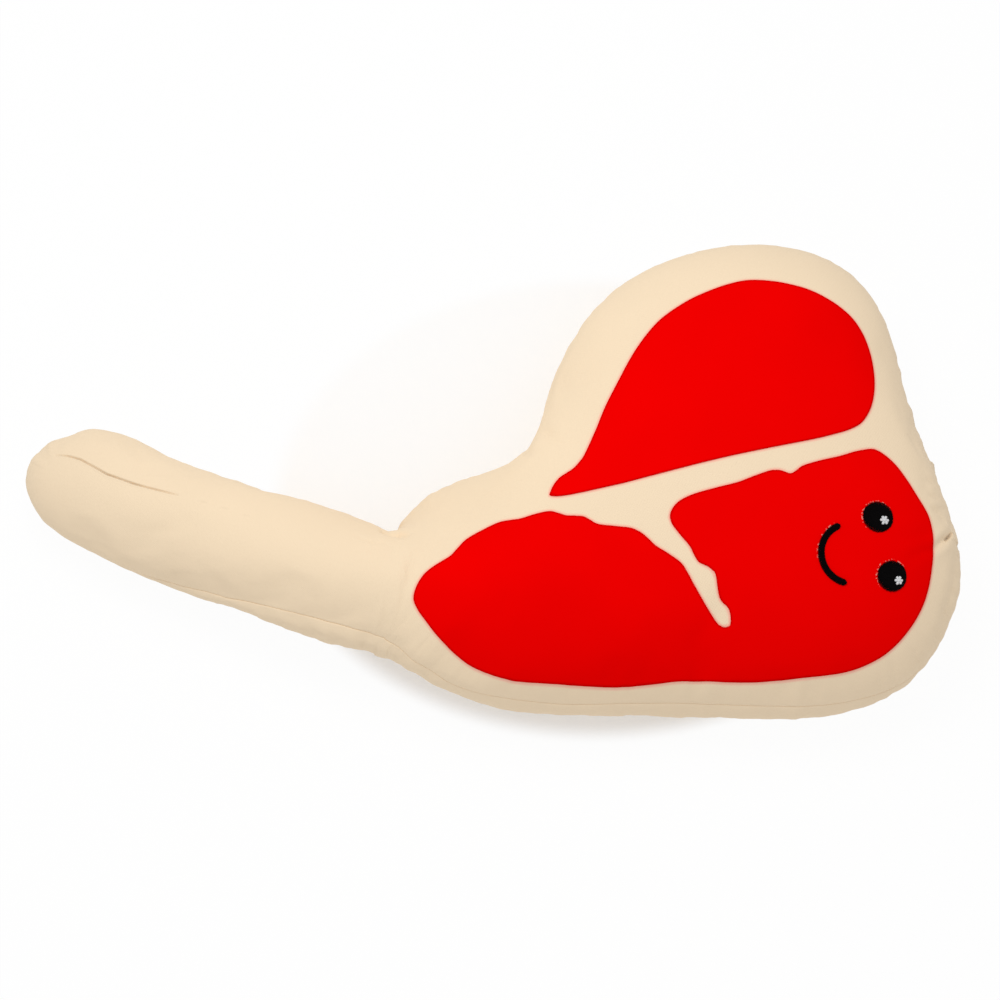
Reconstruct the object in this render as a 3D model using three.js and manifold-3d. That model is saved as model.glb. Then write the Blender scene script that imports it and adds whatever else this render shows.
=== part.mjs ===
import * as THREE from 'three';
import { mergeVertices } from 'three/addons/utils/BufferGeometryUtils.js';
import Module from 'manifold-3d';

// A stuffed dog toy in the shape of a T-bone steak, lying on its back.
// +Z is the way the face looks, the bone handle points to -X and the face is at +X.
// A front and a back panel of cotton are sewn together round one outline and stuffed.

const wasm = await Module();
wasm.setup();

// Sizes of the sewn cover, in millimetres
const bodyLength = 200;
const bodyWidth = 172;
const handleLength = 137;
const handleWidth = 44;
const handleAngle = THREE.MathUtils.degToRad(19.5);
const clothThickness = 1;
const seamAllowance = 8;

// How the stuffing fills the cover: its height far from any seam,
// and the distance from the seam over which that height builds up
const fullLoft = 34.5;
const loftReach = 20;

// How the stuffed toy lies on a table
const flatDepth = 0.5;
const coverRoll = THREE.MathUtils.degToRad(18);
const neckRoll = THREE.MathUtils.degToRad(31);
const neckRollLength = 50;
const handleTwist = THREE.MathUtils.degToRad(42);

// Gap between pieces that touch
const clearance = 0.3;
// Slivers that cutting leaves in the stuffing are dropped up to this thickness
const sliver = 0.04;

// The red meat areas are thin film fused to the front panel
const filmThickness = 0.4;

// Heights from the cover's surface: where the face stands, and where the lining of the cover ends
const faceLevel = clearance + filmThickness + clearance;
const liningLevel = -(clothThickness + clearance);

// The embroidered face, with the backing that stiffens the cloth behind it
const eyeRadius = 5.6;
const eyeRise = 1.2;
const eyeEdgeRise = 0.6;
const glintRadius = 1.7;
const glintRise = 0.6;
const glintEdgeRise = 0.3;
const glintAlong = 1.9;
const glintAcross = -1.3;
const smileRadius = 10.3;
const smileWidth = 2.7;
const smileRise = 0.9;
const smileStart = THREE.MathUtils.degToRad(117);
const smileEnd = THREE.MathUtils.degToRad(254);
const backingRadius = 24;
const backingThickness = 0.5;

// The squeaker: a blown bulb with a plug in its neck and a reed in the plug
const bulbRadius = 25;
const bulbHalfHeight = 12;
const bulbWall = 1.2;
const bulbNeckRadius = 6;
const bulbNeckHeight = 3;
const capFlange = 1;
const capDepth = 7;
const reedRadius = 2.6;
const reedLength = 8;
const reedWall = 0.6;
const reedCollar = 1;

// Colours
const creamCloth = new THREE.MeshStandardMaterial({ color: 0xf2dcbc, roughness: 0.9, metalness: 0 });
const redFilm = new THREE.MeshStandardMaterial({ color: 0xe60a04, roughness: 0.75, metalness: 0 });
const blackThread = new THREE.MeshStandardMaterial({ color: 0x0c0a0b, roughness: 0.45, metalness: 0 });
const whiteThread = new THREE.MeshStandardMaterial({ color: 0xe4e4e0, roughness: 0.45, metalness: 0 });
const whiteBacking = new THREE.MeshStandardMaterial({ color: 0xf2f2f0, roughness: 1, metalness: 0 });
const fibreFill = new THREE.MeshStandardMaterial({ color: 0xf5f4f0, roughness: 1, metalness: 0 });
const softPlastic = new THREE.MeshStandardMaterial({ color: 0xf0efe6, roughness: 0.5, metalness: 0 });
const hardPlastic = new THREE.MeshStandardMaterial({ color: 0xf7f6f2, roughness: 0.35, metalness: 0 });

// Steps of the surface: along the handle, along the body, and across both
const handleSteps = 14;
const bodySteps = 32;
const crossSteps = 10;
const relaxations = 400;
const roundSteps = 24;
const domeSteps = 4;
const bulbSteps = 14;
const pointsPerShare = 2;

// The outline. Body points are shares of bodyLength and bodyWidth from the toy's middle line,
// handle points are shares of handleLength and handleWidth from the middle of the neck.
const neckShare = [-0.05, -0.245];
const rollFadeShares = [0.55, 1.5];
const handleTopShares = [
  [1.025, 0.09], [1.012, 0.28], [0.965, 0.42], [0.895, 0.51], [0.82, 0.54], [0.74, 0.535],
  [0.62, 0.5], [0.4, 0.465], [0.17, 0.46], [0.02, 0.43],
];
const handleBottomShares = [
  [1.025, 0.09], [1.018, -0.11], [0.983, -0.27], [0.92, -0.38], [0.8, -0.43], [0.68, -0.48],
  [0.5, -0.52], [0.27, -0.53], [0.1, -0.52], [-0.08, -0.49],
];
const bodyTopShares = [
  [-0.006, -0.095], [0.03, -0.045], [0.1, -0.02], [0.165, 0.008], [0.202, 0.045], [0.232, 0.108],
  [0.268, 0.232], [0.322, 0.335], [0.395, 0.411], [0.5, 0.465], [0.61, 0.49], [0.7, 0.484],
  [0.785, 0.446], [0.848, 0.385], [0.886, 0.28], [0.915, 0.11], [0.945, 0], [0.974, -0.1],
  [0.991, -0.155], [0.996, -0.2],
];
const bodyBottomShares = [
  [-0.01, -0.396], [0.03, -0.427], [0.09, -0.46], [0.18, -0.484], [0.28, -0.496],
  [0.45, -0.494], [0.62, -0.5], [0.74, -0.499], [0.82, -0.477], [0.88, -0.44],
  [0.934, -0.37], [0.974, -0.29], [0.99, -0.245], [0.996, -0.2],
];

// Edges of the meat areas and places of the face, as body shares on the finished front
const upperMeatShares = [
  [0.25, -0.092], [0.255, -0.069], [0.268, -0.051], [0.29, -0.034], [0.31, -0.004], [0.345, 0.094],
  [0.372, 0.158], [0.402, 0.222], [0.442, 0.284], [0.482, 0.321], [0.527, 0.35], [0.607, 0.38],
  [0.697, 0.368], [0.747, 0.344], [0.793, 0.303], [0.818, 0.251], [0.829, 0.181], [0.822, 0.111],
  [0.797, 0.062], [0.747, 0.036], [0.687, 0.018], [0.547, -0.018], [0.397, -0.063], [0.327, -0.081],
];
const lowerMeatShares = [
  [0.01, -0.295], [0.025, -0.249], [0.048, -0.225], [0.075, -0.205], [0.1, -0.173], [0.132, -0.153],
  [0.162, -0.14], [0.197, -0.137], [0.247, -0.125], [0.277, -0.135], [0.307, -0.138],
  [0.332, -0.154], [0.387, -0.162], [0.41, -0.175], [0.432, -0.199], [0.475, -0.233],
  [0.497, -0.275], [0.537, -0.347], [0.55, -0.357], [0.561, -0.353], [0.557, -0.321],
  [0.542, -0.301], [0.535, -0.257], [0.522, -0.241], [0.505, -0.231], [0.49, -0.199],
  [0.462, -0.158], [0.457, -0.135], [0.472, -0.109], [0.507, -0.09], [0.577, -0.068],
  [0.632, -0.044], [0.652, -0.043], [0.67, -0.049], [0.692, -0.032], [0.757, -0.01],
  [0.815, 0.009], [0.837, 0], [0.865, -0.03], [0.897, -0.086], [0.916, -0.124],
  [0.923, -0.167], [0.919, -0.237], [0.905, -0.301], [0.875, -0.359], [0.832, -0.406],
  [0.772, -0.436], [0.697, -0.448], [0.597, -0.456], [0.487, -0.453], [0.372, -0.463],
  [0.247, -0.457], [0.172, -0.448], [0.107, -0.42], [0.062, -0.379], [0.032, -0.339],
];
const leftEyeShare = [0.821, -0.135];
const rightEyeShare = [0.844, -0.253];
const smileShare = [0.771, -0.212];
const backingShare = [0.805, -0.19];
const squeakerShare = [0.55, -0.02];

// Places on the flat pattern
const handleAxis = new THREE.Vector3(-Math.cos(handleAngle), Math.sin(handleAngle), 0);
const handleSide = new THREE.Vector3(Math.sin(handleAngle), Math.cos(handleAngle), 0);
const neck = onBody(neckShare);

function onBody([along, across]) {
  return new THREE.Vector3(along * bodyLength, across * bodyWidth, 0);
}

function onHandle([along, across]) {
  const place = neck.clone();
  place.addScaledVector(handleAxis, along * handleLength);
  return place.addScaledVector(handleSide, across * handleWidth);
}

function smoothCurve(points, closed = false) {
  return new THREE.CatmullRomCurve3(points, closed, 'centripetal');
}

// Shares from 0 to 1 that crowd towards both ends
function crowded(count) {
  return Array.from({ length: count + 1 }, (_, step) => (1 - Math.cos((Math.PI * step) / count)) / 2);
}

// The pattern is a net of stations from the handle's tip to the body's far end.
// Each station is a row of points from the lower edge to the upper one,
// and the tip and the far end are single points.
function makePattern() {
  const handleTop = smoothCurve(handleTopShares.map(onHandle));
  const handleBottom = smoothCurve(handleBottomShares.map(onHandle));
  const bodyTop = smoothCurve([handleTop.getPoint(1), ...bodyTopShares.map(onBody)]);
  const bodyBottom = smoothCurve([handleBottom.getPoint(1), ...bodyBottomShares.map(onBody)]);
  const handleStations = crowded(handleSteps).slice(1);
  const bodyStations = crowded(bodySteps).slice(1, -1);
  const edges = [
    ...handleStations.map((share) => [handleBottom.getPointAt(share), handleTop.getPointAt(share)]),
    ...bodyStations.map((share) => [bodyBottom.getPointAt(share), bodyTop.getPointAt(share)]),
  ];
  const points = [handleTop.getPoint(0)];
  for (const [low, high] of edges) {
    points.push(...crowded(crossSteps).map((share) => low.clone().lerp(high, share)));
  }
  points.push(bodyTop.getPoint(1));

  const last = edges.length + 1;
  const at = (station, row) => {
    if (station === 0) return 0;
    if (station === last) return points.length - 1;
    return 1 + (station - 1) * (crossSteps + 1) + row;
  };
  const triangles = [];
  for (let station = 0; station < last; station += 1) {
    for (let row = 0; row < crossSteps; row += 1) {
      const [a, b] = [at(station, row), at(station + 1, row)];
      const [c, d] = [at(station + 1, row + 1), at(station, row + 1)];
      if (a === d) triangles.push([a, b, c]);
      else if (b === c) triangles.push([a, b, d]);
      else {
        const alongAC = points[a].distanceTo(points[c]) < points[b].distanceTo(points[d]);
        triangles.push(...(alongAC ? [[a, b, c], [a, c, d]] : [[a, b, d], [b, c, d]]));
      }
    }
  }
  const inner = Array.from({ length: last - 1 }, (_, step) => step + 1);
  const rim = [
    0, ...inner.map((station) => at(station, 0)),
    points.length - 1, ...inner.reverse().map((station) => at(station, crossSteps)),
  ];
  return { points, triangles, rim };
}

const pattern = makePattern();
const rimPlace = new Map(pattern.rim.map((vertex, place) => [vertex, place]));

// Outward direction at each point of the rim, level with the seam
const rimOut = pattern.rim.map((vertex, place) => {
  const count = pattern.rim.length;
  const before = pattern.points[pattern.rim[(place + count - 1) % count]];
  const after = pattern.points[pattern.rim[(place + 1) % count]];
  const run = after.clone().sub(before).normalize();
  return new THREE.Vector3(run.y, -run.x, 0);
});

// Height of the stuffed cover over the pattern. Like a film under pressure that is held at its rim
// and also tied to full loft, it solves reach^2 * laplacian(u) = u - 1 with u = 0 on the rim.
// The height is fullLoft * sqrt(u), so the cover leaves the seam upright.
function stuffedHeights() {
  const { points, triangles } = pattern;
  const pull = points.map(() => new Map());
  const share = points.map(() => 0);
  for (const corners of triangles) {
    for (let turn = 0; turn < 3; turn += 1) {
      const [i, j, k] = [0, 1, 2].map((step) => corners[(turn + step) % 3]);
      const [toI, toJ] = [points[i].clone().sub(points[k]), points[j].clone().sub(points[k])];
      const doubleArea = toI.clone().cross(toJ).length();
      const weight = toI.dot(toJ) / doubleArea / 2;
      pull[i].set(j, (pull[i].get(j) ?? 0) + weight);
      pull[j].set(i, (pull[j].get(i) ?? 0) + weight);
      share[k] += doubleArea / 6;
    }
  }
  const loft = points.map(() => 0);
  for (let round = 0; round < relaxations; round += 1) {
    points.forEach((_, vertex) => {
      if (rimPlace.has(vertex)) return;
      let [above, below] = [share[vertex], share[vertex]];
      for (const [other, weight] of pull[vertex]) {
        above += loftReach ** 2 * weight * loft[other];
        below += loftReach ** 2 * weight;
      }
      loft[vertex] = above / below;
    });
  }
  return loft.map((value) => fullLoft * Math.sqrt(value));
}

const heights = stuffedHeights();

// Direction away from the stuffing at each point of the front
const fronts = pattern.points.map((point, vertex) => new THREE.Vector3(point.x, point.y, heights[vertex]));
const frontOut = fronts.map(() => new THREE.Vector3());
for (const corners of pattern.triangles) {
  const [a, b, c] = corners.map((vertex) => fronts[vertex]);
  const facing = b.clone().sub(a).cross(c.clone().sub(a));
  corners.forEach((vertex) => frontOut[vertex].add(facing));
}
frontOut.forEach((out, vertex) => {
  if (rimPlace.has(vertex)) out.copy(rimOut[rimPlace.get(vertex)]);
  out.normalize();
});

// The cover has rolled a little round the stuffing, so its front has crept towards +Y and its back
// towards -Y. It has turned most at the neck. From there the handle droops to the table and turns
// back about its own length on the way.
function lean(flat) {
  const fromNeck = flat.clone().sub(neck);
  const [reach, aside] = [fromNeck.dot(handleAxis), Math.abs(fromNeck.dot(handleSide))];
  const beside = THREE.MathUtils.smoothstep(aside, ...rollFadeShares.map((share) => share * handleWidth));
  const gripped = THREE.MathUtils.smoothstep(reach, -neckRollLength, 0) * (1 - beside);
  const eased = THREE.MathUtils.smoothstep(reach, 0, handleLength);
  fromNeck.y += flat.z * Math.tan(coverRoll) * (1 - gripped);
  const turned = fromNeck.applyAxisAngle(handleAxis, gripped * neckRoll - eased * handleTwist).add(neck);
  return { turned, eased };
}

const backs = fronts.map((point) => new THREE.Vector3(point.x, point.y, -point.z - clearance / 2));
const bodyRise = -Math.min(...backs.map((point) => point.z)) - flatDepth;
const handleRise = Math.max(...backs.map(lean).map(({ turned, eased }) => (
  eased > 0 ? bodyRise - (turned.z + bodyRise + flatDepth) / eased : 0
)));

function settle(point) {
  const { turned, eased } = lean(point);
  turned.z += THREE.MathUtils.lerp(bodyRise, handleRise, eased);
  return turned;
}

// The cover's surface moved outward by offset, on the front (side 1) or the back (side -1).
// Its rim lies rimHeight from the seam.
function layer(side, offset, rimHeight = clearance / 2) {
  return fronts.map((point, vertex) => {
    const moved = point.clone().addScaledVector(frontOut[vertex], offset);
    const onRim = rimPlace.has(vertex);
    moved.z = side * (onRim ? rimHeight : moved.z + clearance / 2);
    return settle(moved);
  });
}

// A ring level with the seam, inset from the outline
function ring(inset, height) {
  return pattern.rim.map((vertex, place) => {
    const moved = pattern.points[vertex].clone().addScaledVector(rimOut[place], -inset);
    moved.z = height;
    return settle(moved);
  });
}

// Closed skin from an outer layer over any rings to an inner layer
function closedSkin(outer, inner, rings = [], side = 1) {
  const places = [...outer, ...inner, ...rings.flat()];
  const faces = [...pattern.triangles];
  faces.push(...pattern.triangles.map(([a, b, c]) => [a + outer.length, c + outer.length, b + outer.length]));
  const ringStart = outer.length + inner.length;
  const loops = [
    pattern.rim,
    ...rings.map((one, index) => one.map((_, step) => ringStart + index * one.length + step)),
    pattern.rim.map((vertex) => vertex + outer.length),
  ];
  for (let index = 1; index < loops.length; index += 1) {
    faces.push(...band(loops[index - 1], loops[index]));
  }
  return solidOf(places, sided(faces, side));
}

// Faces as they are for the front, turned over for the back
function sided(faces, side) {
  return side > 0 ? faces : faces.map(([a, b, c]) => [a, c, b]);
}

// Triangles between two loops that run anticlockwise seen from above
function band(from, to) {
  return from.flatMap((a, step) => {
    const next = (step + 1) % from.length;
    return [[from[next], a, to[step]], [from[next], to[step], to[next]]];
  });
}

function solidOf(places, faces) {
  return new wasm.Manifold(new wasm.Mesh({
    numProp: 3,
    vertProperties: new Float32Array(places.flatMap(({ x, y, z }) => [x, y, z])),
    triVerts: new Uint32Array(faces.flat()),
  }));
}

function solidFrom(geometry) {
  const bare = geometry.clone();
  bare.deleteAttribute('normal');
  bare.deleteAttribute('uv');
  const merged = mergeVertices(bare);
  return new wasm.Manifold(new wasm.Mesh({
    numProp: 3,
    vertProperties: new Float32Array(merged.attributes.position.array),
    triVerts: new Uint32Array(merged.index.array),
  }));
}

function meshOf(name, solid, material) {
  const { vertProperties, triVerts } = solid.getMesh();
  const geometry = new THREE.BufferGeometry();
  geometry.setAttribute('position', new THREE.BufferAttribute(vertProperties, 3));
  geometry.setIndex(new THREE.BufferAttribute(triVerts, 1));
  geometry.computeVertexNormals();
  const mesh = new THREE.Mesh(geometry, material);
  mesh.name = name;
  return mesh;
}

// One panel: a cloth shell whose edge turns in along the seam as the seam allowance
function panel(side) {
  const near = clearance / 2;
  const far = near + clothThickness;
  const rings = [ring(seamAllowance, side * near), ring(seamAllowance, side * far)];
  return closedSkin(layer(side, 0), layer(side, -clothThickness, far), rings, side);
}

// A film that lies on the cover's front between two offsets from its surface
function film(from, to) {
  return closedSkin(layer(1, to), layer(1, from));
}

// Everything in the toy up to an offset from its front surface
function under(offset) {
  return closedSkin(layer(1, offset), layer(-1, 0));
}

// An upright prism over a flat outline, tall enough to pass through the whole toy
const overrun = 2 * (bodyLength + handleLength);

function prism(shape) {
  const geometry = new THREE.ExtrudeGeometry(shape, {
    depth: overrun,
    bevelEnabled: false,
    curveSegments: roundSteps,
  });
  geometry.translate(0, 0, bodyRise);
  return solidFrom(geometry);
}

// Everything that lies beyond a plane through a point, in the direction given
function beyond(point, direction) {
  const geometry = new THREE.BoxGeometry(overrun, overrun, overrun);
  geometry.translate(0, 0, overrun / 2);
  geometry.applyQuaternion(new THREE.Quaternion().setFromUnitVectors(new THREE.Vector3(0, 0, 1), direction));
  geometry.translate(point.x, point.y, point.z);
  return solidFrom(geometry);
}

function outlineOf(shares) {
  const curve = smoothCurve(shares.map(onBody), true);
  return new THREE.Shape(curve.getPoints(shares.length * pointsPerShare).slice(0, -1));
}

function discAt({ x, y }, radius) {
  return new THREE.Shape().absarc(x, y, radius, 0, 2 * Math.PI);
}

// Point on the front surface above a place, and the way that the surface faces there
function spotAbove({ x, y }, offset) {
  const surface = layer(1, offset);
  const place = new THREE.Vector3(x, y, 0);
  for (const corners of pattern.triangles) {
    const flat = corners.map((vertex) => surface[vertex].clone().setZ(0));
    const inside = new THREE.Triangle(...flat);
    if (inside.getArea() > 0 && inside.containsPoint(place)) {
      const weights = inside.getBarycoord(place, new THREE.Vector3());
      const mix = (list) => corners.reduce(
        (sum, vertex, step) => sum.addScaledVector(list[vertex], weights.getComponent(step)),
        new THREE.Vector3(),
      );
      return { point: mix(surface), facing: mix(frontOut).normalize() };
    }
  }
  throw new Error('the place is off the front surface');
}

// A round satin-stitched dome: it stands edgeRise at its edge and rise in its middle
function dome(radius, edgeRise, rise, { point, facing }) {
  const profile = [new THREE.Vector2(0, -radius), new THREE.Vector2(radius, -radius)];
  for (let step = 0; step <= domeSteps; step += 1) {
    const angle = (Math.PI / 2) * (step / domeSteps);
    const out = step === domeSteps ? 0 : radius * Math.cos(angle);
    profile.push(new THREE.Vector2(out, edgeRise + (rise - edgeRise) * Math.sin(angle)));
  }
  const geometry = new THREE.LatheGeometry(profile, roundSteps);
  geometry.applyQuaternion(new THREE.Quaternion().setFromUnitVectors(new THREE.Vector3(0, 1, 0), facing));
  geometry.translate(point.x, point.y, point.z);
  return solidFrom(geometry);
}

// The smile is an arc band with round ends
function smileOutline(middle) {
  const [outer, inner] = [smileRadius + smileWidth / 2, smileRadius - smileWidth / 2];
  const end = (angle) => new THREE.Vector2(
    middle.x + smileRadius * Math.cos(angle),
    middle.y + smileRadius * Math.sin(angle),
  );
  const shape = new THREE.Shape();
  const cap = (angle, from) => shape.absarc(end(angle).x, end(angle).y, smileWidth / 2, from, from + Math.PI);
  shape.absarc(middle.x, middle.y, outer, smileStart, smileEnd);
  cap(smileEnd, smileEnd);
  shape.absarc(middle.x, middle.y, inner, smileEnd, smileStart, true);
  cap(smileStart, smileStart + Math.PI);
  return shape;
}

// Room that the turned-in seam allowance of one panel takes up inside the cover
function allowanceRoom(side) {
  const [near, far] = [-clearance / 2, clearance / 2 + clothThickness + clearance];
  const [outer, inner] = [-clearance, seamAllowance + clearance];
  const corners = [[outer, near], [inner, near], [inner, far], [outer, far]];
  const loops = corners.map(([inset, height]) => ring(inset, side * height));
  const numbered = loops.map((loop, index) => loop.map((_, step) => index * loop.length + step));
  const faces = numbered.flatMap((loop, index) => band(loop, numbered[(index + 1) % numbered.length]));
  return solidOf(loops.flat(), sided(faces, side));
}

// Solid of revolution about the squeaker's upright axis, from points given as [out, up]
function revolved(profile) {
  const points = profile.map(([out, up]) => new THREE.Vector2(out, up));
  const geometry = new THREE.LatheGeometry(points, roundSteps);
  geometry.rotateX(Math.PI / 2);
  const { x, y } = onBody(squeakerShare);
  geometry.translate(x, y, bodyRise);
  return solidFrom(geometry);
}

// Side of the flattened bulb, from its foot round to where a neck of the given radius begins
function bulbSide(margin, neckRadius) {
  const radius = bulbRadius + margin;
  return Array.from({ length: bulbSteps + 1 }, (_, step) => {
    const angle = THREE.MathUtils.lerp(-Math.PI / 2, Math.acos(neckRadius / radius), step / bulbSteps);
    return [step === 0 ? 0 : radius * Math.cos(angle), (bulbHalfHeight + margin) * Math.sin(angle)];
  });
}

const neckTop = bulbHalfHeight + bulbNeckHeight;
const neckBore = bulbNeckRadius - bulbWall;
const capSeat = neckTop + clearance;
const capTop = capSeat + capFlange;
const reedSeat = capTop + clearance;
const reedTop = reedSeat + reedCollar;

function squeakerBulb() {
  const outside = bulbSide(0, bulbNeckRadius);
  const inside = bulbSide(-bulbWall, neckBore).reverse();
  return revolved([...outside, [bulbNeckRadius, neckTop], [neckBore, neckTop], ...inside]);
}

// A plug with a stem in the bulb's neck, a flange on its rim and a bore for the reed
function squeakerCap() {
  const [stem, bore] = [neckBore - clearance, reedRadius + clearance];
  const foot = [stem, capSeat - capDepth];
  return revolved([
    foot, [stem, capSeat], [bulbNeckRadius, capSeat], [bulbNeckRadius, capTop],
    [bore, capTop], [bore, capSeat - capDepth], foot,
  ]);
}

// A tube that hangs in the cap's bore by its collar
function squeakerReed() {
  const [collar, bore] = [reedRadius + reedCollar, reedRadius - reedWall];
  const foot = [reedRadius, reedSeat - reedLength];
  return revolved([
    foot, [reedRadius, reedSeat], [collar, reedSeat], [collar, reedTop],
    [bore, reedTop], [bore, reedSeat - reedLength], foot,
  ]);
}

// Room that the squeaker needs in the stuffing
function squeakerRoom() {
  const shaft = bulbNeckRadius + clearance;
  return revolved([...bulbSide(clearance, shaft), [shaft, reedTop + clearance], [0, reedTop + clearance]]);
}

// Red film over an area of the front panel
function meatArea(shares) {
  return film(clearance, clearance + filmThickness).intersect(prism(outlineOf(shares)));
}

// An eye and its glint, at a place on the front
function eyeAndGlint(share) {
  const place = onBody(share);
  const spot = spotAbove(place, faceLevel);
  const eye = dome(eyeRadius, eyeEdgeRise, eyeRise, spot).subtract(under(faceLevel));
  const eyeRoom = dome(eyeRadius + clearance, eyeEdgeRise + clearance, eyeRise + clearance, spot);
  const glintPlace = place.clone().add(new THREE.Vector3(glintAlong, glintAcross, 0));
  const glintSpot = spotAbove(glintPlace, faceLevel + eyeRise + clearance);
  const glint = dome(glintRadius, glintEdgeRise, glintRise, glintSpot).subtract(eyeRoom);
  return [eye, glint];
}

// Backing behind the face, and the room that it needs
function backing(margin) {
  const disc = prism(discAt(onBody(backingShare), backingRadius + margin));
  return film(liningLevel - backingThickness - margin, liningLevel + margin).intersect(disc);
}

// The stuffing of the body and of the handle
function stuffing() {
  const lining = closedSkin(layer(1, liningLevel), layer(-1, liningLevel));
  const cut = lining.subtract(allowanceRoom(1)).subtract(allowanceRoom(-1));
  const whole = cut.asOriginal().simplify(sliver);
  const gap = handleAxis.clone().multiplyScalar(clearance / 2);
  const seam = new THREE.Vector3(0, 0, bodyRise);
  const up = new THREE.Vector3(0, 0, 1);
  const split = up.clone().multiplyScalar(clearance / 2);
  const handle = whole.intersect(beyond(neck.clone().add(gap), handleAxis));
  const bodySide = beyond(neck.clone().sub(gap), handleAxis.clone().negate());
  const body = whole.intersect(bodySide).subtract(squeakerRoom());
  const front = body.intersect(beyond(seam.clone().add(split), up)).subtract(backing(clearance));
  const back = body.intersect(beyond(seam.clone().sub(split), up.clone().negate()));
  return { handle, front, back };
}

// The finished toy, each piece with its material
const table = beyond(new THREE.Vector3(), new THREE.Vector3(0, 0, 1));
const fill = stuffing();
const [leftEye, leftGlint] = eyeAndGlint(leftEyeShare);
const [rightEye, rightGlint] = eyeAndGlint(rightEyeShare);
const smile = film(faceLevel, faceLevel + smileRise).intersect(prism(smileOutline(onBody(smileShare))));

const toy = new THREE.Group();
toy.add(meshOf('front_panel', panel(1), creamCloth));
toy.add(meshOf('back_panel', panel(-1).intersect(table), creamCloth));
toy.add(meshOf('upper_meat_patch', meatArea(upperMeatShares), redFilm));
toy.add(meshOf('lower_meat_patch', meatArea(lowerMeatShares), redFilm));
toy.add(meshOf('left_eye', leftEye, blackThread));
toy.add(meshOf('right_eye', rightEye, blackThread));
toy.add(meshOf('left_eye_glint', leftGlint, whiteThread));
toy.add(meshOf('right_eye_glint', rightGlint, whiteThread));
toy.add(meshOf('smile', smile, blackThread));
toy.add(meshOf('face_backing', backing(0), whiteBacking));
toy.add(meshOf('body_fill_front', fill.front, fibreFill));
toy.add(meshOf('body_fill_back', fill.back, fibreFill));
toy.add(meshOf('handle_fill', fill.handle, fibreFill));
toy.add(meshOf('squeaker_bulb', squeakerBulb(), softPlastic));
toy.add(meshOf('squeaker_cap', squeakerCap(), hardPlastic));
toy.add(meshOf('squeaker_reed', squeakerReed(), hardPlastic));

// The origin is on the table under the middle of the toy
const box = new THREE.Box3().setFromObject(toy);
const middle = box.getCenter(new THREE.Vector3());
toy.position.set(-middle.x, -middle.y, -box.min.z);

export default toy;
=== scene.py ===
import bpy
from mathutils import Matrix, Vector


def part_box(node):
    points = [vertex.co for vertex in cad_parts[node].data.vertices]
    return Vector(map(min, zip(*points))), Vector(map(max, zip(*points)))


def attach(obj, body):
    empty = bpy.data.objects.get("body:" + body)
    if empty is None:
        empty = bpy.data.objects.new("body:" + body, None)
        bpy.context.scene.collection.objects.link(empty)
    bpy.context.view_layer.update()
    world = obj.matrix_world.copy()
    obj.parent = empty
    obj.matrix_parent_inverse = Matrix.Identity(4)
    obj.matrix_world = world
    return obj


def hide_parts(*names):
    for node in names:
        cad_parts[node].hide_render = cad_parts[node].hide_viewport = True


bl_info = {
    "name": "Steak Dog Toy",
    "version": (1, 0, 0),
    "blender": (4, 5, 0),
    "location": "3D View > Sidebar > Dog Toy",
    "description": "Dresses the packed solids of a stuffed steak dog toy",
    "category": "Object",
}

import math

import bmesh
import bpy
import numpy as np
from bpy.props import FloatProperty, FloatVectorProperty, PointerProperty
from mathutils import Vector, noise
from mathutils.bvhtree import BVHTree
from mathutils.kdtree import KDTree

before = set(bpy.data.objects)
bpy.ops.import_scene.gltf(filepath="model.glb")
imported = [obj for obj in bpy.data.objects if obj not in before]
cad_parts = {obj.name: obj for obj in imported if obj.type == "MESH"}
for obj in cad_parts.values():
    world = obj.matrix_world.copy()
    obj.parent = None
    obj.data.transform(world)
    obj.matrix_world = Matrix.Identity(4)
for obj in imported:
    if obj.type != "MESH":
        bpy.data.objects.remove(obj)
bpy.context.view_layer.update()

MM = 0.001
PANELS = ("front_panel", "back_panel")
FILLS = ("body_fill_front", "body_fill_back", "handle_fill")
MEAT = ("upper_meat_patch", "lower_meat_patch")

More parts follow.
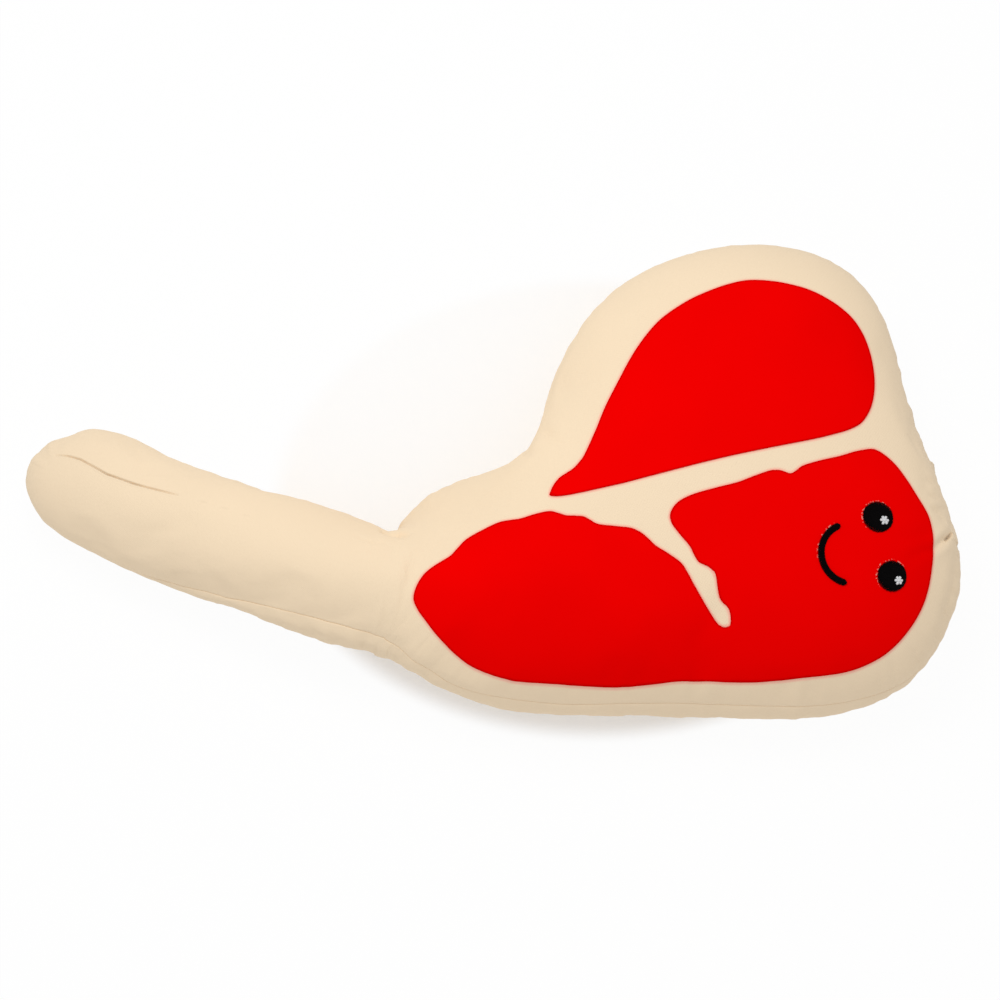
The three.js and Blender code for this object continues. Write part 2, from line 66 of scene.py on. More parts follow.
# How the stuffing fills the outline, in millimetres and by the stretches of the seam: a place near
# the seam, how far the cloth at the seam goes out there, and how far the belly of the back panel does
BULGES = {
    "tip of the handle": (
        (-169, 7, 0.7, 0), (-169, -8, 0.1, 0),
    ),
    "lower edge of the handle": (
        (-159, -17, 0.3, 0), (-145, -23, 1.1, 0), (-130, -31, 1.1, 0.2), (-113, -38, 0.2, 1.2),
        (-96, -44, 0, 0.8), (-79, -49, 0, 2.1), (-64, -54, 0, 2.3), (-51, -57, 0, 2.6),
        (-42, -60, 0, 2.3), (-27, -68, 0, 0.2), (-18, -74, 0, 1.0),
    ),
    "lower edge of the body": (
        (-4, -80, 0, 1.0), (5, -82, 0, 1.3), (34, -84, 0, 1.4), (57, -84, 0, 1.4),
        (80, -85, 0, 1.9), (103, -85, 0.2, 1.5), (125, -84, 0.2, 1.0),
    ),
    "lower right corner": (
        (135, -81, 0.4, 0.8), (144, -77, 1.3, 0.4), (152, -71, 1.8, 0), (162, -58, 1.2, 0),
    ),
    "right end": (
        (168, -47, 0.1, 0), (171, -34, -1.5, 0), (168, -21, -1.2, 0), (163, -6, 0.5, 0),
        (160, 3, 1.2, 0), (157, 14, 0.3, 0), (154, 26, 0, 0), (151, 39, -0.1, 0), (148, 53, 0.2, 0),
    ),
    "top": (
        (142, 66, 1.2, 0), (131, 77, 3.1, 0), (116, 83, 3.1, 0), (100, 85, 3.0, 0),
        (83, 84, 2.8, 0), (68, 80, 2.8, 0), (53, 73, 2.3, 0), (40, 63, 1.7, 0),
    ),
    "back of the body, down to its inner corner": (
        (31, 51, 0.3, 0), (24, 37, 0, 0), (20, 24, -0.9, 0), (14, 11, -4.4, 0),
    ),
    "shoulder, and the notch beside the handle": (
        (-5, -2, 3.0, 0), (-15, -6, 3.6, 0), (-23, -10, 4.6, 0), (-28, -16, 3.0, 0),
        (-31, -20, -1.0, 0), (-42, -22, 1.6, 0), (-50, -18, 2.9, 0),
    ),
    "upper edge of the handle": (
        (-61, -14, 2.2, 0), (-74, -8, 1.4, 0), (-88, -2, 1.1, 0), (-103, 5, 0.3, 0),
        (-118, 11, 0.2, 0), (-133, 18, 1.9, 0), (-150, 20, 2.4, 0), (-158, 20, 1.1, 0),
        (-166, 16, -0.4, 0),
    ),
}

# Local pulls on the cloth in millimetres: a place seen from above, the pull there and its reach
PULLS = (
    (-30.5, -19.0, -4.6, -0.4, 6.5), (-38.5, -21.5, 0.4, 0.2, 6.0), (12.0, 10.5, 0.6, -0.6, 6.0),
    (-14.0, -5.5, -0.6, 1.1, 8.0), (-156.0, 19.5, 1.2, -1.6, 5.5), (-167.5, 12.5, -0.2, 0.2, 7.0),
    (-26.5, -66.5, -0.4, -1.2, 6.0), (-35.0, -22.5, 0.0, -1.3, 3.5),
)

# Creases of the front cloth in millimetres: the line each runs along, its depth, its half width
# and how much the cloth beside it swells
CREASES = (
    # The long one on the handle, and the three marks that carry it on
    ([(-158.5, 9.0, 33.0), (-152.9, 7.8, 35.5), (-148.2, 6.1, 37.2), (-137.6, -0.5, 40.6),
      (-127.4, -4.6, 42.1), (-117.8, -7.6, 43.5), (-110.5, -9.9, 44.5)], 1.0, 0.3, 0.16),
    ([(-103.5, -12.2, 45.7), (-100.0, -13.3, 46.2)], 0.16, 0.5, 0.05),
    ([(-95.5, -14.8, 47.2), (-92.3, -15.8, 47.7)], 0.14, 0.5, 0.05),
    ([(-87.5, -17.9, 48.7), (-84.5, -18.8, 49.1)], 0.1, 0.5, 0.04),
    # Two beside the notch between the handle and the body
    ([(-48.2, -24.0, 49.8), (-43.5, -26.5, 51.1), (-38.9, -27.7, 51.4), (-34.7, -27.6, 51.0)],
     0.18, 0.8, 0.1),
    ([(-28.5, -24.5, 47.5), (-33.0, -22.0, 45.0), (-38.5, -21.5, 43.5)], 1.4, 1.8, 0.3),
    # The fold at the right end beside the face, and the soft creases round it
    ([(155.6, -32.6, 54.9), (159.3, -29.1, 52.8), (162.4, -26.5, 50.5), (165.5, -23.6, 47.0)],
     0.9, 1.3, 0.45),
    ([(161.6, -27.6, 51.2), (165.6, -24.0, 47.6)], 1.1, 0.5, 0.1),
    ([(146.5, -36.6, 61.0), (152.0, -33.9, 57.8), (157.0, -31.6, 54.2)], 0.35, 1.6, 0.12),
    ([(141.5, -29.5, 63.0), (149.5, -28.5, 59.5), (155.5, -25.5, 55.4)], 0.22, 1.6, 0.1),
    ([(156.0, -16.6, 55.0), (159.2, -17.8, 52.7), (162.5, -21.0, 50.0)], 0.35, 1.1, 0.2),
    ([(155.4, -5.6, 53.6), (159.5, -7.2, 49.6)], 0.3, 1.0, 0.15),
    ([(155.6, -11.7, 54.4), (160.5, -13.2, 50.4)], 0.3, 1.0, 0.15),
    ([(166.0, -30.0, 45.0), (165.2, -38.0, 44.0), (163.7, -44.2, 43.4), (161.3, -52.6, 41.3),
      (157.1, -61.8, 37.1)], 0.5, 2.4, 0.35),
    ([(148.5, 11.8, 54.9), (152.1, 6.8, 52.8), (155.9, 2.0, 50.3)], 0.3, 2.2, 0.15),
    # Two at the inner corner where the shoulder meets the back of the body
    ([(17.5, 13.6, 50.3), (21.9, 8.9, 57.2), (25.7, 5.9, 60.3)], 0.8, 2.0, 0.3),
    ([(10.1, 8.6, 47.0), (14.1, 2.0, 55.5)], 0.4, 1.6, 0.15),
)

# A crease whose half width is below a limit gets that many cuts across the faces that it runs through, and
# one below the sharp width is also marked, so that the cloth's colour gets painted shade along it
CREASE_CUTS = ((0.4 * MM, 4), (0.7 * MM, 3), (1.5 * MM, 1))
SHARP_CREASE = 0.7 * MM

# Rings of a panel's rolled edge: how far each lies back along the cloth and down in the seam, in radii
ROLL = ((0.95, 0.1), (0.35, 0.45), (0.1, 1.3))

# Distance from the films' edges over which film and cloth are marked, in millimetres
EDGE_REACH = 3

WEAVE_PITCH = 0.52 * MM

# The sewn cover's skin and what finds places on it, kept for the pieces that lie on it
made = {}


class CoverSizes(bpy.types.PropertyGroup):
    """Sizes of the sewn cover"""

    cloth: FloatProperty(
        name="Cloth thickness", description="Thickness of the cream cloth",
        default=0.0009, min=0.0002, max=0.003, unit="LENGTH")
    pressure: FloatProperty(
        name="Stuffing pressure", description="How hard the stuffing pushes on the cloth",
        default=3.0, min=0, max=20)
    slack: FloatProperty(
        name="Slack", description="Share by which the cloth is larger than its stuffed form",
        default=0.006, min=0, max=0.1, subtype="FACTOR")
    travel: FloatProperty(
        name="Travel", description="Furthest that stuffing moves the cloth",
        default=0.0012, min=0, max=0.01, unit="LENGTH")
    fold: FloatProperty(
        name="Seam fold", description="Radius of the fold where each panel turns into the seam",
        default=0.0003, min=0.0001, max=0.002, unit="LENGTH")
    least_stitch: FloatProperty(
        name="Least spacing", description="Least distance between the seam points that the cover starts from",
        default=0.0022, min=0.0005, max=0.01, unit="LENGTH")
    allowance: FloatProperty(
        name="Seam allowance", description="Width of the cloth turned in at the seam",
        default=0.0075, min=0.001, max=0.02, unit="LENGTH")
    pucker: FloatProperty(
        name="Seam pucker", description="Height of the small puckers along the seam",
        default=0.00022, min=0, max=0.002, unit="LENGTH")
    film: FloatProperty(
        name="Film thickness", description="Thickness of the red film",
        default=0.0003, min=0.0001, max=0.001, unit="LENGTH")
    cream: FloatVectorProperty(
        name="Cream", description="Colour of the cloth",
        default=(0.935, 0.752, 0.534), min=0, max=1, subtype="COLOR")
    red: FloatVectorProperty(
        name="Red", description="Colour of the meat areas",
        default=(0.885, 0.0003, 0.0002), min=0, max=1, subtype="COLOR")


class FaceSizes(bpy.types.PropertyGroup):
    """Sizes of the embroidered face"""

    thread: FloatProperty(
        name="Thread radius", description="Radius of the embroidery thread",
        default=0.00021, min=0.0001, max=0.001, unit="LENGTH")
    spacing: FloatProperty(
        name="Thread spacing", description="Distance between neighbouring satin stitches",
        default=0.00036, min=0.0001, max=0.002, unit="LENGTH")
    lay: FloatProperty(
        name="Lay", description="Direction of the satin stitches on the eyes",
        default=math.radians(63), subtype="ANGLE", unit="ROTATION")
    smile_radius: FloatProperty(
        name="Smile radius", description="Radius of the smile's middle line",
        default=0.0103, min=0.002, max=0.05, unit="LENGTH")
    smile_width: FloatProperty(
        name="Smile width", description="Width of the smile's stroke",
        default=0.0025, min=0.0005, max=0.01, unit="LENGTH")
    smile_start: FloatProperty(
        name="Smile start", description="Angle at which the smile starts",
        default=math.radians(117), subtype="ANGLE", unit="ROTATION")
    smile_end: FloatProperty(
        name="Smile end", description="Angle at which the smile ends",
        default=math.radians(254), subtype="ANGLE", unit="ROTATION")


class FillSizes(bpy.types.PropertyGroup):
    """Sizes of the stuffing"""

    tuft: FloatProperty(
        name="Tuft", description="Size of the lumps in the fibre",
        default=0.012, min=0.002, max=0.05, unit="LENGTH")
    lump: FloatProperty(
        name="Lump", description="Height of the lumps in the fibre",
        default=0.0012, min=0, max=0.01, unit="LENGTH")
    clear: FloatProperty(
        name="Clearance", description="Least distance from the fibre to the outside of the cover",
        default=0.0016, min=0.0005, max=0.01, unit="LENGTH")


class StageSizes(bpy.types.PropertyGroup):
    """Sizes of the camera's view and the light"""

    aim: FloatVectorProperty(
        name="Aim", description="Place that the camera looks at",
        default=(0.0042, -0.0084, 0.034), subtype="XYZ", unit="LENGTH")
    lens: FloatProperty(
        name="Lens", description="Focal length of the camera in millimetres",
        default=85, min=20, max=200)
    height: FloatProperty(
        name="Camera elevation", description="Angle of the camera above the table",
        default=math.radians(75), subtype="ANGLE", unit="ROTATION")
    distance: FloatProperty(
        name="Camera distance", description="Distance from the camera to the toy",
        default=0.856, min=0.2, max=3, unit="LENGTH")
    stand: FloatVectorProperty(
        name="Soft box place", description="Place of the soft box, which faces the toy",
        default=(-0.09, 0.14, 0.58), subtype="XYZ", unit="LENGTH")
    soft_box: FloatProperty(
        name="Soft box size", description="Length of each side of the soft box",
        default=0.26, min=0.05, max=2, unit="LENGTH")
    key: FloatProperty(
        name="Key light", description="Share of full light that the soft box gives",
        default=0.45, min=0, max=2)
    sky: FloatProperty(
        name="Sky light", description="Share of full light that comes from all round",
        default=0.635, min=0, max=2)
    paper: FloatProperty(
        name="Paper white", description="Share by which the table shows as plain white paper",
        default=0.34, min=0, max=1, subtype="FACTOR")


# Working with pieces

def only(piece):
    """Makes a piece the only one selected, and the active one."""
    if bpy.context.mode != "OBJECT":
        bpy.ops.object.mode_set(mode="OBJECT")
    bpy.ops.object.select_all(action="DESELECT")
    piece.select_set(True)
    bpy.context.view_layer.objects.active = piece


def piece_of(name, mesh):
    """Puts a mesh in the scene as a piece."""
    mesh.name = name
    piece = bpy.data.objects.new(name, mesh)
    bpy.context.scene.collection.objects.link(piece)
    only(piece)
    return piece


def node_copy(name, node):
    """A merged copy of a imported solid."""
    piece = piece_of(name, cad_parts[node].data.copy())
    piece.data.materials.clear()
    bpy.ops.mesh.customdata_custom_splitnormals_clear()
    bpy.ops.object.mode_set(mode="EDIT")
    bpy.ops.mesh.select_all(action="SELECT")
    bpy.ops.mesh.remove_doubles(threshold=0.01 * MM)
    bpy.ops.object.mode_set(mode="OBJECT")
    return piece


def pick(piece, kind, test):
    """Selects the verts, edges or faces that pass a test, in edit mode."""
    bpy.ops.mesh.select_mode(type={"verts": "VERT", "edges": "EDGE", "faces": "FACE"}[kind])
    bpy.ops.mesh.select_all(action="DESELECT")
    shape = bmesh.from_edit_mesh(piece.data)
    shape.faces.ensure_lookup_table()
    for part in getattr(shape, kind):
        if test(part):
            part.select_set(True)
    bmesh.update_edit_mesh(piece.data)


def finish_with(piece, kind, **settings):
    """Adds a modifier with its settings and applies it."""
    only(piece)
    bpy.ops.object.modifier_add(type=kind)
    modifier = piece.modifiers[-1]
    for name, value in settings.items():
        setattr(modifier, name, value)
    bpy.ops.object.modifier_apply(modifier=modifier.name)


def places_of(mesh):
    """Places of a mesh's points, one row each."""
    places = np.zeros(len(mesh.vertices) * 3)
    mesh.vertices.foreach_get("co", places)
    return places.reshape(-1, 3)


def normals_of(mesh):
    """Outward directions at a mesh's points, one row each."""
    normals = np.zeros(len(mesh.vertices) * 3)
    mesh.vertex_normals.foreach_get("vector", normals)
    return normals.reshape(-1, 3)


def move_to(mesh, places):
    """Puts a mesh's points in new places."""
    mesh.vertices.foreach_set("co", places.ravel())
    mesh.update()


def soften(piece):
    """Shades a piece smooth."""
    only(piece)
    bpy.ops.object.shade_smooth()


def hand_over(piece, finish, node):
    """Gives a finished piece its finish, hangs it on the root and hides the solid it stands for."""
    piece.data.materials.clear()
    piece.data.materials.append(finish)
    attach(piece, "root")
    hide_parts(node)


# Finishes

class Wire:
    """An output of a node, which Python sums turn into Math nodes."""

    def __init__(self, nodes, socket):
        self.nodes, self.socket = nodes, socket

    def math(self, operation, *values):
        return self.nodes.node("ShaderNodeMath", {"operation": operation}, dict(enumerate(values)))

    def __add__(self, other):
        return self.math("ADD", self, other)

    def __sub__(self, other):
        return self.math("SUBTRACT", self, other)

    def __rsub__(self, other):
        return self.math("SUBTRACT", other, self)

    def __mul__(self, other):
        return self.math("MULTIPLY", self, other)

    def __truediv__(self, other):
        return self.math("DIVIDE", self, other)

    def __pow__(self, other):
        return self.math("POWER", self, other)

    __radd__, __rmul__ = __add__, __mul__

    def size(self):
        return self.math("ABSOLUTE", self)

    def wave(self):
        return self.math("SINE", self)

    def above(self, start, end):
        """From 0 at start to 1 at end, eased."""
        return self.nodes.node(
            "ShaderNodeMapRange", {"interpolation_type": "SMOOTHSTEP"},
            {0: self, 1: start, 2: end, 3: 0.0, 4: 1.0})


class Nodes:
    """The nodes of a finish or of the world."""

    def __init__(self, tree):
        self.tree = tree

    def feed(self, node, values):
        for key, value in values.items():
            if isinstance(value, Wire):
                self.tree.links.new(value.socket, node.inputs[key])
            else:
                node.inputs[key].default_value = value

    def node(self, kind, settings, values, output=0):
        """A node of a type, with its settings made first and then its sockets fed."""
        node = self.tree.nodes.new(kind)
        for name, value in settings.items():
            setattr(node, name, value)
        self.feed(node, values)
        return Wire(self, node.outputs[output]) if node.outputs else node

    def shown(self):
        """1 where a camera sees the surface itself, also by way of gloss or glass, and 0 elsewhere."""
        camera, glossy, through = [
            self.node("ShaderNodeLightPath", {}, {}, f"Is {kind} Ray")
            for kind in ("Camera", "Glossy", "Transmission")]
        return camera.math("MAXIMUM", camera.math("MAXIMUM", camera, glossy), through)


class Finish(Nodes):
    """A material."""

    def __init__(self, name, colour, roughness, specular, sheen=0.0):
        self.material = bpy.data.materials.new(name)
        self.material.use_nodes = True
        super().__init__(self.material.node_tree)
        self.shader = self.tree.nodes["Principled BSDF"]
        self.feed(self.shader, {
            "Base Color": (*colour, 1), "Roughness": roughness,
            "Specular IOR Level": specular, "Sheen Weight": sheen,
        })
        self.relief = None

    def where(self):
        """Object coordinates."""
        return self.node("ShaderNodeTexCoord", {}, {}, "Object")

    def parts(self, vector):
        """The x, y and z of a vector."""
        first = self.node("ShaderNodeSeparateXYZ", {}, {0: vector})
        return [first] + [Wire(self, first.socket.node.outputs[i]) for i in (1, 2)]

    def mark(self, name):
        """The value that the mesh's points are marked with."""
        return self.node("ShaderNodeAttribute", {"attribute_name": name}, {}, "Fac")

    def noise(self, size, vector=None, detail=2.0, output=0):
        """Soft noise from 0 to 1 with features of a size in metres."""
        values = {"Vector": vector or self.where(), "Scale": 1 / size, "Detail": detail}
        return self.node("ShaderNodeTexNoise", {}, values, output)

    def cells(self, size):
        """Distance from the middles of cells of a size in metres."""
        return self.node("ShaderNodeTexVoronoi", {}, {"Vector": self.where(), "Scale": 1 / size})

    def mix(self, share, first, second):
        """A colour between two colours."""
        first, second = [(*c, 1) if isinstance(c, tuple) and len(c) == 3 else c for c in (first, second)]
        return self.node("ShaderNodeMix", {"data_type": "RGBA"}, {0: share, 6: first, 7: second}, 2)

    def colour(self, value):
        self.feed(self.shader, {"Base Color": value})

    def rough(self, value):
        self.feed(self.shader, {"Roughness": value})

    def emboss(self, height, depth, strength):
        """Adds relief of a depth in metres, on top of the relief before it."""
        values = {"Height": height, "Distance": depth, "Strength": strength}
        if self.relief:
            values["Normal"] = self.relief
        self.relief = self.node("ShaderNodeBump", {}, values)
        self.feed(self.shader, {"Normal": self.relief})

    def weave(self):
        """Height of an uneven plain weave, on the cloth's own map."""
        cloth = self.node("ShaderNodeUVMap", {"uv_map": "weave"}, {})
        drift = self.noise(0.006, cloth, 1.0)
        across, along, _ = self.parts(cloth)
        turn = math.pi / WEAVE_PITCH
        warp = (across * turn + drift * 2.0).wave()
        weft = (along * turn + drift * 2.0).wave()
        return (warp * weft) * 0.5 + 0.5


def tint(colour, share):
    """A colour made lighter or darker by a share."""
    return tuple(min(1.0, part * share) for part in colour)


def cream_cloth(colour):
    """Cream cotton, pink beside the films, with painted shade in the sharp creases."""
    pink, painted_crease_shade = (1.0, 0.46, 0.36), (0.56, 0.47, 0.36)
    finish = Finish("cream_cloth", colour, 0.9, specular=0.12, sheen=0.06)
    nap = finish.noise(0.0011, detail=4.0)
    cloud = finish.noise(0.022, detail=3.0)
    weave = finish.weave()
    shade = cloud * 0.6 + nap * 0.25 + weave * 0.15
    cream = finish.mix(shade, tint(colour, 0.955), tint(colour, 1.03))
    bleed = finish.mark("edge").above(1.9, 2.7)
    cream = finish.mix(bleed * 0.7, cream, pink)
    # Painted shade: a brownish grey darkens the cloth's colour along the marks of the sharp creases
    finish.colour(finish.mix(finish.mark("crease") * 0.75, cream, painted_crease_shade))
    finish.rough(0.86 + nap * 0.1)
    finish.emboss(finish.noise(0.009, detail=2.0), 0.0004, 0.35)
    finish.emboss(nap, 0.00012, 0.6)
    finish.emboss(weave, 0.00006, 0.7)
    return finish.material


def red_film(colour, stitched):
    """Red film, darker at its edge, with light pricks beside part of each stitched shape's outline."""
    light = (0.92, 0.42, 0.34)
    finish = Finish("red_film", colour, 0.62, specular=0.0)
    x, y, _ = finish.parts(finish.where())
    prick = None
    for middle, radius, side, start in stitched:
        across, up = x - middle.x, y - middle.y
        away = (across ** 2.0 + up ** 2.0) ** 0.5
        ring = 1.0 - ((away - radius).size()).above(0.0001, 0.0005)
        ring = ring * ((across * math.cos(side) + up * math.sin(side)) / away).above(start, start + 0.15)
        prick = ring if prick is None else prick + ring
    fleck = finish.noise(0.0007, detail=1.0).above(0.52, 0.6) * prick
    cloud = finish.noise(0.03, detail=2.0)
    film = finish.mix(cloud, tint(colour, 0.95), tint(colour, 1.04))
    rim = 1.0 - finish.mark("edge").above(0.1, 0.9)
    film = finish.mix(rim * 0.45, film, tint(colour, 0.42))
    finish.colour(finish.mix(fleck * 0.6, film, light))
    finish.rough(0.56 + finish.noise(0.004, detail=3.0) * 0.14)
    finish.emboss(finish.noise(0.009, detail=2.0), 0.0004, 0.3)
    finish.emboss(finish.weave(), 0.00003, 0.5)
    return finish.material


def thread(name, colour, roughness, specular):
    """Embroidery thread with a fine uneven ply."""
    finish = Finish(name, colour, roughness, specular)
    ply = finish.noise(0.0003, detail=2.0)
    finish.colour(finish.mix(ply, tint(colour, 0.82), tint(colour, 1.12)))
    finish.rough(roughness - 0.06 + ply * 0.12)
    finish.emboss(ply, 0.00004, 0.6)
    return finish.material


def backing_cloth():
    """White unwoven backing, pressed in dots."""
    finish = Finish("backing_cloth", (0.86, 0.86, 0.84), 0.85, specular=0.2)
    fibres = finish.noise(0.0009, detail=5.0)
    bond = finish.cells(0.0016)
    finish.colour(finish.mix(fibres, (0.80, 0.80, 0.78), (0.90, 0.90, 0.88)))
    finish.rough(0.8 + fibres * 0.12)
    finish.emboss(bond.above(0.2, 0.5), 0.00006, 0.7)
    finish.emboss(fibres, 0.00005, 0.6)
    return finish.material


def fibre_fill():
    """White stuffing, in curls and tufts."""
    finish = Finish("fibre_fill", (0.88, 0.88, 0.86), 0.95, specular=0.1, sheen=0.2)
    curl = finish.noise(0.004, detail=2.0, output=1)
    hair = finish.noise(0.0009, curl, 5.0)
    strands = finish.noise(0.0016, detail=6.0) * 0.6 + hair * 0.4
    finish.colour(finish.mix(strands, (0.74, 0.74, 0.72), (0.92, 0.92, 0.90)))
    finish.rough(0.9 + strands * 0.08)
    finish.emboss(finish.noise(0.005, detail=3.0), 0.0009, 0.8)
    finish.emboss(strands, 0.0004, 0.8)
    return finish.material


def plastic(name, colour, roughness):
    """Moulded plastic with a faint haze."""
    finish = Finish(name, colour, roughness, specular=0.5)
    haze = finish.noise(0.006, detail=2.0)
    finish.colour(finish.mix(haze, tint(colour, 0.95), tint(colour, 1.03)))
    finish.rough(roughness - 0.05 + haze * 0.1)
    finish.emboss(finish.noise(0.0008, detail=2.0), 0.00003, 0.4)
    return finish.material


# Lines and nets of points

def join(joined, a, b):
    """Notes that two points are joined."""
    joined.setdefault(a, []).append(b)
    joined.setdefault(b, []).append(a)


def walk(joined):
    """The points of a closed line in order, from the two that each of them is joined to."""
    start = min(joined)
    loop, last = [start], None
    while len(loop) <= len(joined):
        step = next(one for one in joined[loop[-1]] if one != last)
        last = loop[-1]
        if step == start:
            break
        loop.append(step)
    return loop


def unit(ways):
    """Directions made one long, one row each."""
    return ways / np.linalg.norm(ways, axis=1, keepdims=True)


def along(places):
    """How far along a closed line each of its points is."""
    steps = np.linalg.norm(np.roll(places, -1, axis=0) - places, axis=1)
    return np.concatenate([[0], np.cumsum(steps)[:-1]])


def clockwise(line):
    """Whether a closed line runs clockwise, seen from above."""
    x, y = np.array(line).T[:2]
    return (x * np.roll(y, -1) - y * np.roll(x, -1)).sum() < 0


def off_line(places, line):
    """How far each place is from an open line, and at which share of its length."""
    away, share = np.full(len(places), 1.0), np.zeros(len(places))
    steps = np.linalg.norm(np.diff(line, axis=0), axis=1)
    for order, (start, end) in enumerate(zip(line, line[1:])):
        run = end - start
        part = np.clip((places - start) @ run / (run @ run), 0, 1)
        far = np.linalg.norm(places - start - part[:, None] * run, axis=1)
        closer = far < away
        away[closer] = far[closer]
        share[closer] = ((steps[:order].sum() + part * steps[order]) / steps.sum())[closer]
    return away, share


def tree_of(places):
    """Finds the nearest of some points."""
    tree = KDTree(len(places))
    for order, place in enumerate(places):
        tree.insert(place, order)
    tree.balance()
    return tree


def faces_of(mesh):
    """Finds places on a mesh's faces."""
    return BVHTree.FromPolygons(
        [point.co for point in mesh.vertices], [face.vertices for face in mesh.polygons])


def seam_of(mesh):
    """The seam's points in order, which are those between the two panels."""
    side = [one.value for one in mesh.attributes["side"].data]
    first, joined = {}, {}
    for face in mesh.polygons:
        for edge in face.edge_keys:
            if first.setdefault(edge, side[face.index]) != side[face.index]:
                join(joined, *edge)
    loop = walk(joined)
    if len(loop) != len(joined):
        raise RuntimeError(f"the seam is broken: {len(loop)} of {len(joined)} points")
    return np.array(loop)


def behind_of(mesh):
    """1 at the points of the back panel, 0 at the others."""
    behind = np.zeros(len(mesh.vertices))
    for face, side in zip(mesh.polygons, mesh.attributes["side"].data):
        if side.value:
            behind[list(face.vertices)] = 1
    return behind


# Making the cover

def skin_of(node, side):
    """The outside of a panel, which ends where its edge turns into the seam."""
    skin = node_copy(f"skin_{side}", node)
    outmost = max(skin.data.polygons, key=lambda face: face.center.z * (1 - 2 * side)).index
    bpy.ops.object.mode_set(mode="EDIT")
    pick(skin, "faces", lambda face: face.index == outmost)
    bpy.ops.mesh.faces_select_linked_flat(sharpness=math.radians(60))
    bpy.ops.mesh.select_all(action="INVERT")
    bpy.ops.mesh.delete(type="FACE")
    bpy.ops.object.mode_set(mode="OBJECT")
    mark = skin.data.attributes.new("side", "INT", "FACE")
    mark.data.foreach_set("value", [side] * len(skin.data.polygons))
    return skin


def joined_skins(least_stitch):
    """Both panels' skins, joined at the seam into one closed net of four-sided faces."""
    weld = 0.45 * MM
    cover, back = [skin_of(node, side) for side, node in enumerate(PANELS)]
    only(cover)
    back.select_set(True)
    bpy.ops.object.join()
    bpy.ops.object.mode_set(mode="EDIT")
    pick(cover, "edges", lambda edge: edge.is_boundary)
    bpy.ops.mesh.remove_doubles(threshold=weld)
    bpy.ops.mesh.select_all(action="SELECT")
    bpy.ops.mesh.tris_convert_to_quads(
        face_threshold=math.radians(80), shape_threshold=math.radians(120))
    bpy.ops.object.mode_set(mode="OBJECT")
    space_seam(cover.data, least_stitch)
    return cover


def space_seam(mesh, least):
    """Puts back the seam points that dip off its line, and spaces the crowded ones out."""
    dip = 3 * MM
    rounds = 60
    share = 0.25
    seam = seam_of(mesh)
    places = places_of(mesh)
    rim = places[seam]
    count = len(rim)
    for order in range(count):
        before, after = rim[order - 1], rim[(order + 1) % count]
        middle = (before + after) / 2
        if np.linalg.norm(rim[order] - middle) > max(dip, np.linalg.norm(after - before)):
            rim[order] = middle
    for _ in range(rounds):
        for order in range(count):
            before, start, end, after = [(order + step) % count for step in (-1, 0, 1, 2)]
            short = least - np.linalg.norm(rim[end] - rim[start])
            if short > 0:
                for point, towards in ((start, before), (end, after)):
                    run = rim[towards] - rim[point]
                    rim[point] += run / np.linalg.norm(run) * short * share
    places[seam] = rim
    move_to(mesh, places)


def bulge(mesh):
    """Lets the stuffing push the cloth out along the outline, and pulls it in places."""
    seam_reach, belly_place = 26 * MM, 10 * MM
    span = 5
    blur = (0.1, 0.23, 0.34, 0.23, 0.1)
    places = places_of(mesh)
    rim = places[seam_of(mesh)]
    run, tree = along(rim), tree_of(rim)
    length = run[-1] + np.linalg.norm(rim[0] - rim[-1])
    step = np.roll(rim, -span, axis=0) - np.roll(rim, span, axis=0)
    out = unit(np.stack([step[:, 1], -step[:, 0], np.zeros(len(rim))], axis=1))
    if clockwise(rim):
        out = -out
    flat = tree_of(rim * (1, 1, 0))
    knots = np.array(sorted(
        (run[flat.find((x * MM, y * MM, 0))[1]], seam, belly)
        for stretch in BULGES.values() for x, y, seam, belly in stretch))
    seam_push, belly_push = [
        np.interp(run, knots[:, 0], knots[:, column] * MM, period=length) for column in (1, 2)]
    seam_push, belly_push = [
        sum(share * np.roll(push, shift) for shift, share in zip(range(-2, 3), blur))
        for push in (seam_push, belly_push)]
    behind = behind_of(mesh)
    for vertex, place in enumerate(places):
        _, order, away = tree.find(place)
        push = seam_push[order] * max(0, 1 - (away / seam_reach) ** 2) ** 2
        push += behind[vertex] * belly_push[order] * (away / belly_place) * math.exp(1 - away / belly_place)
        places[vertex] += out[order] * push
    for x, y, across, up, reach in PULLS:
        away = np.linalg.norm(places[:, :2] - (x * MM, y * MM), axis=1)
        places[:, :2] += np.exp(-((away / (reach * MM)) ** 2))[:, None] * np.array((across, up)) * MM
    move_to(mesh, places)


def ease_neck(piece, times):
    """Smooths the cloth where the handle leaves the body, away from the seam."""
    neck_x, neck_reach = -30 * MM, 26 * MM
    clear, ease = 4 * MM, 8 * MM
    mesh = piece.data
    places = places_of(mesh)
    tree = tree_of(places[seam_of(mesh)])
    neck = piece.vertex_groups.new(name="neck")
    for vertex, place in enumerate(places):
        near = math.exp(-(((place[0] - neck_x) / neck_reach) ** 4))
        share = min(1.0, max(0.0, tree.find(place)[2] - clear) / ease)
        neck.add([vertex], near * share, "REPLACE")
    finish_with(piece, "SMOOTH", factor=0.6, iterations=times, vertex_group="neck")
    piece.vertex_groups.clear()


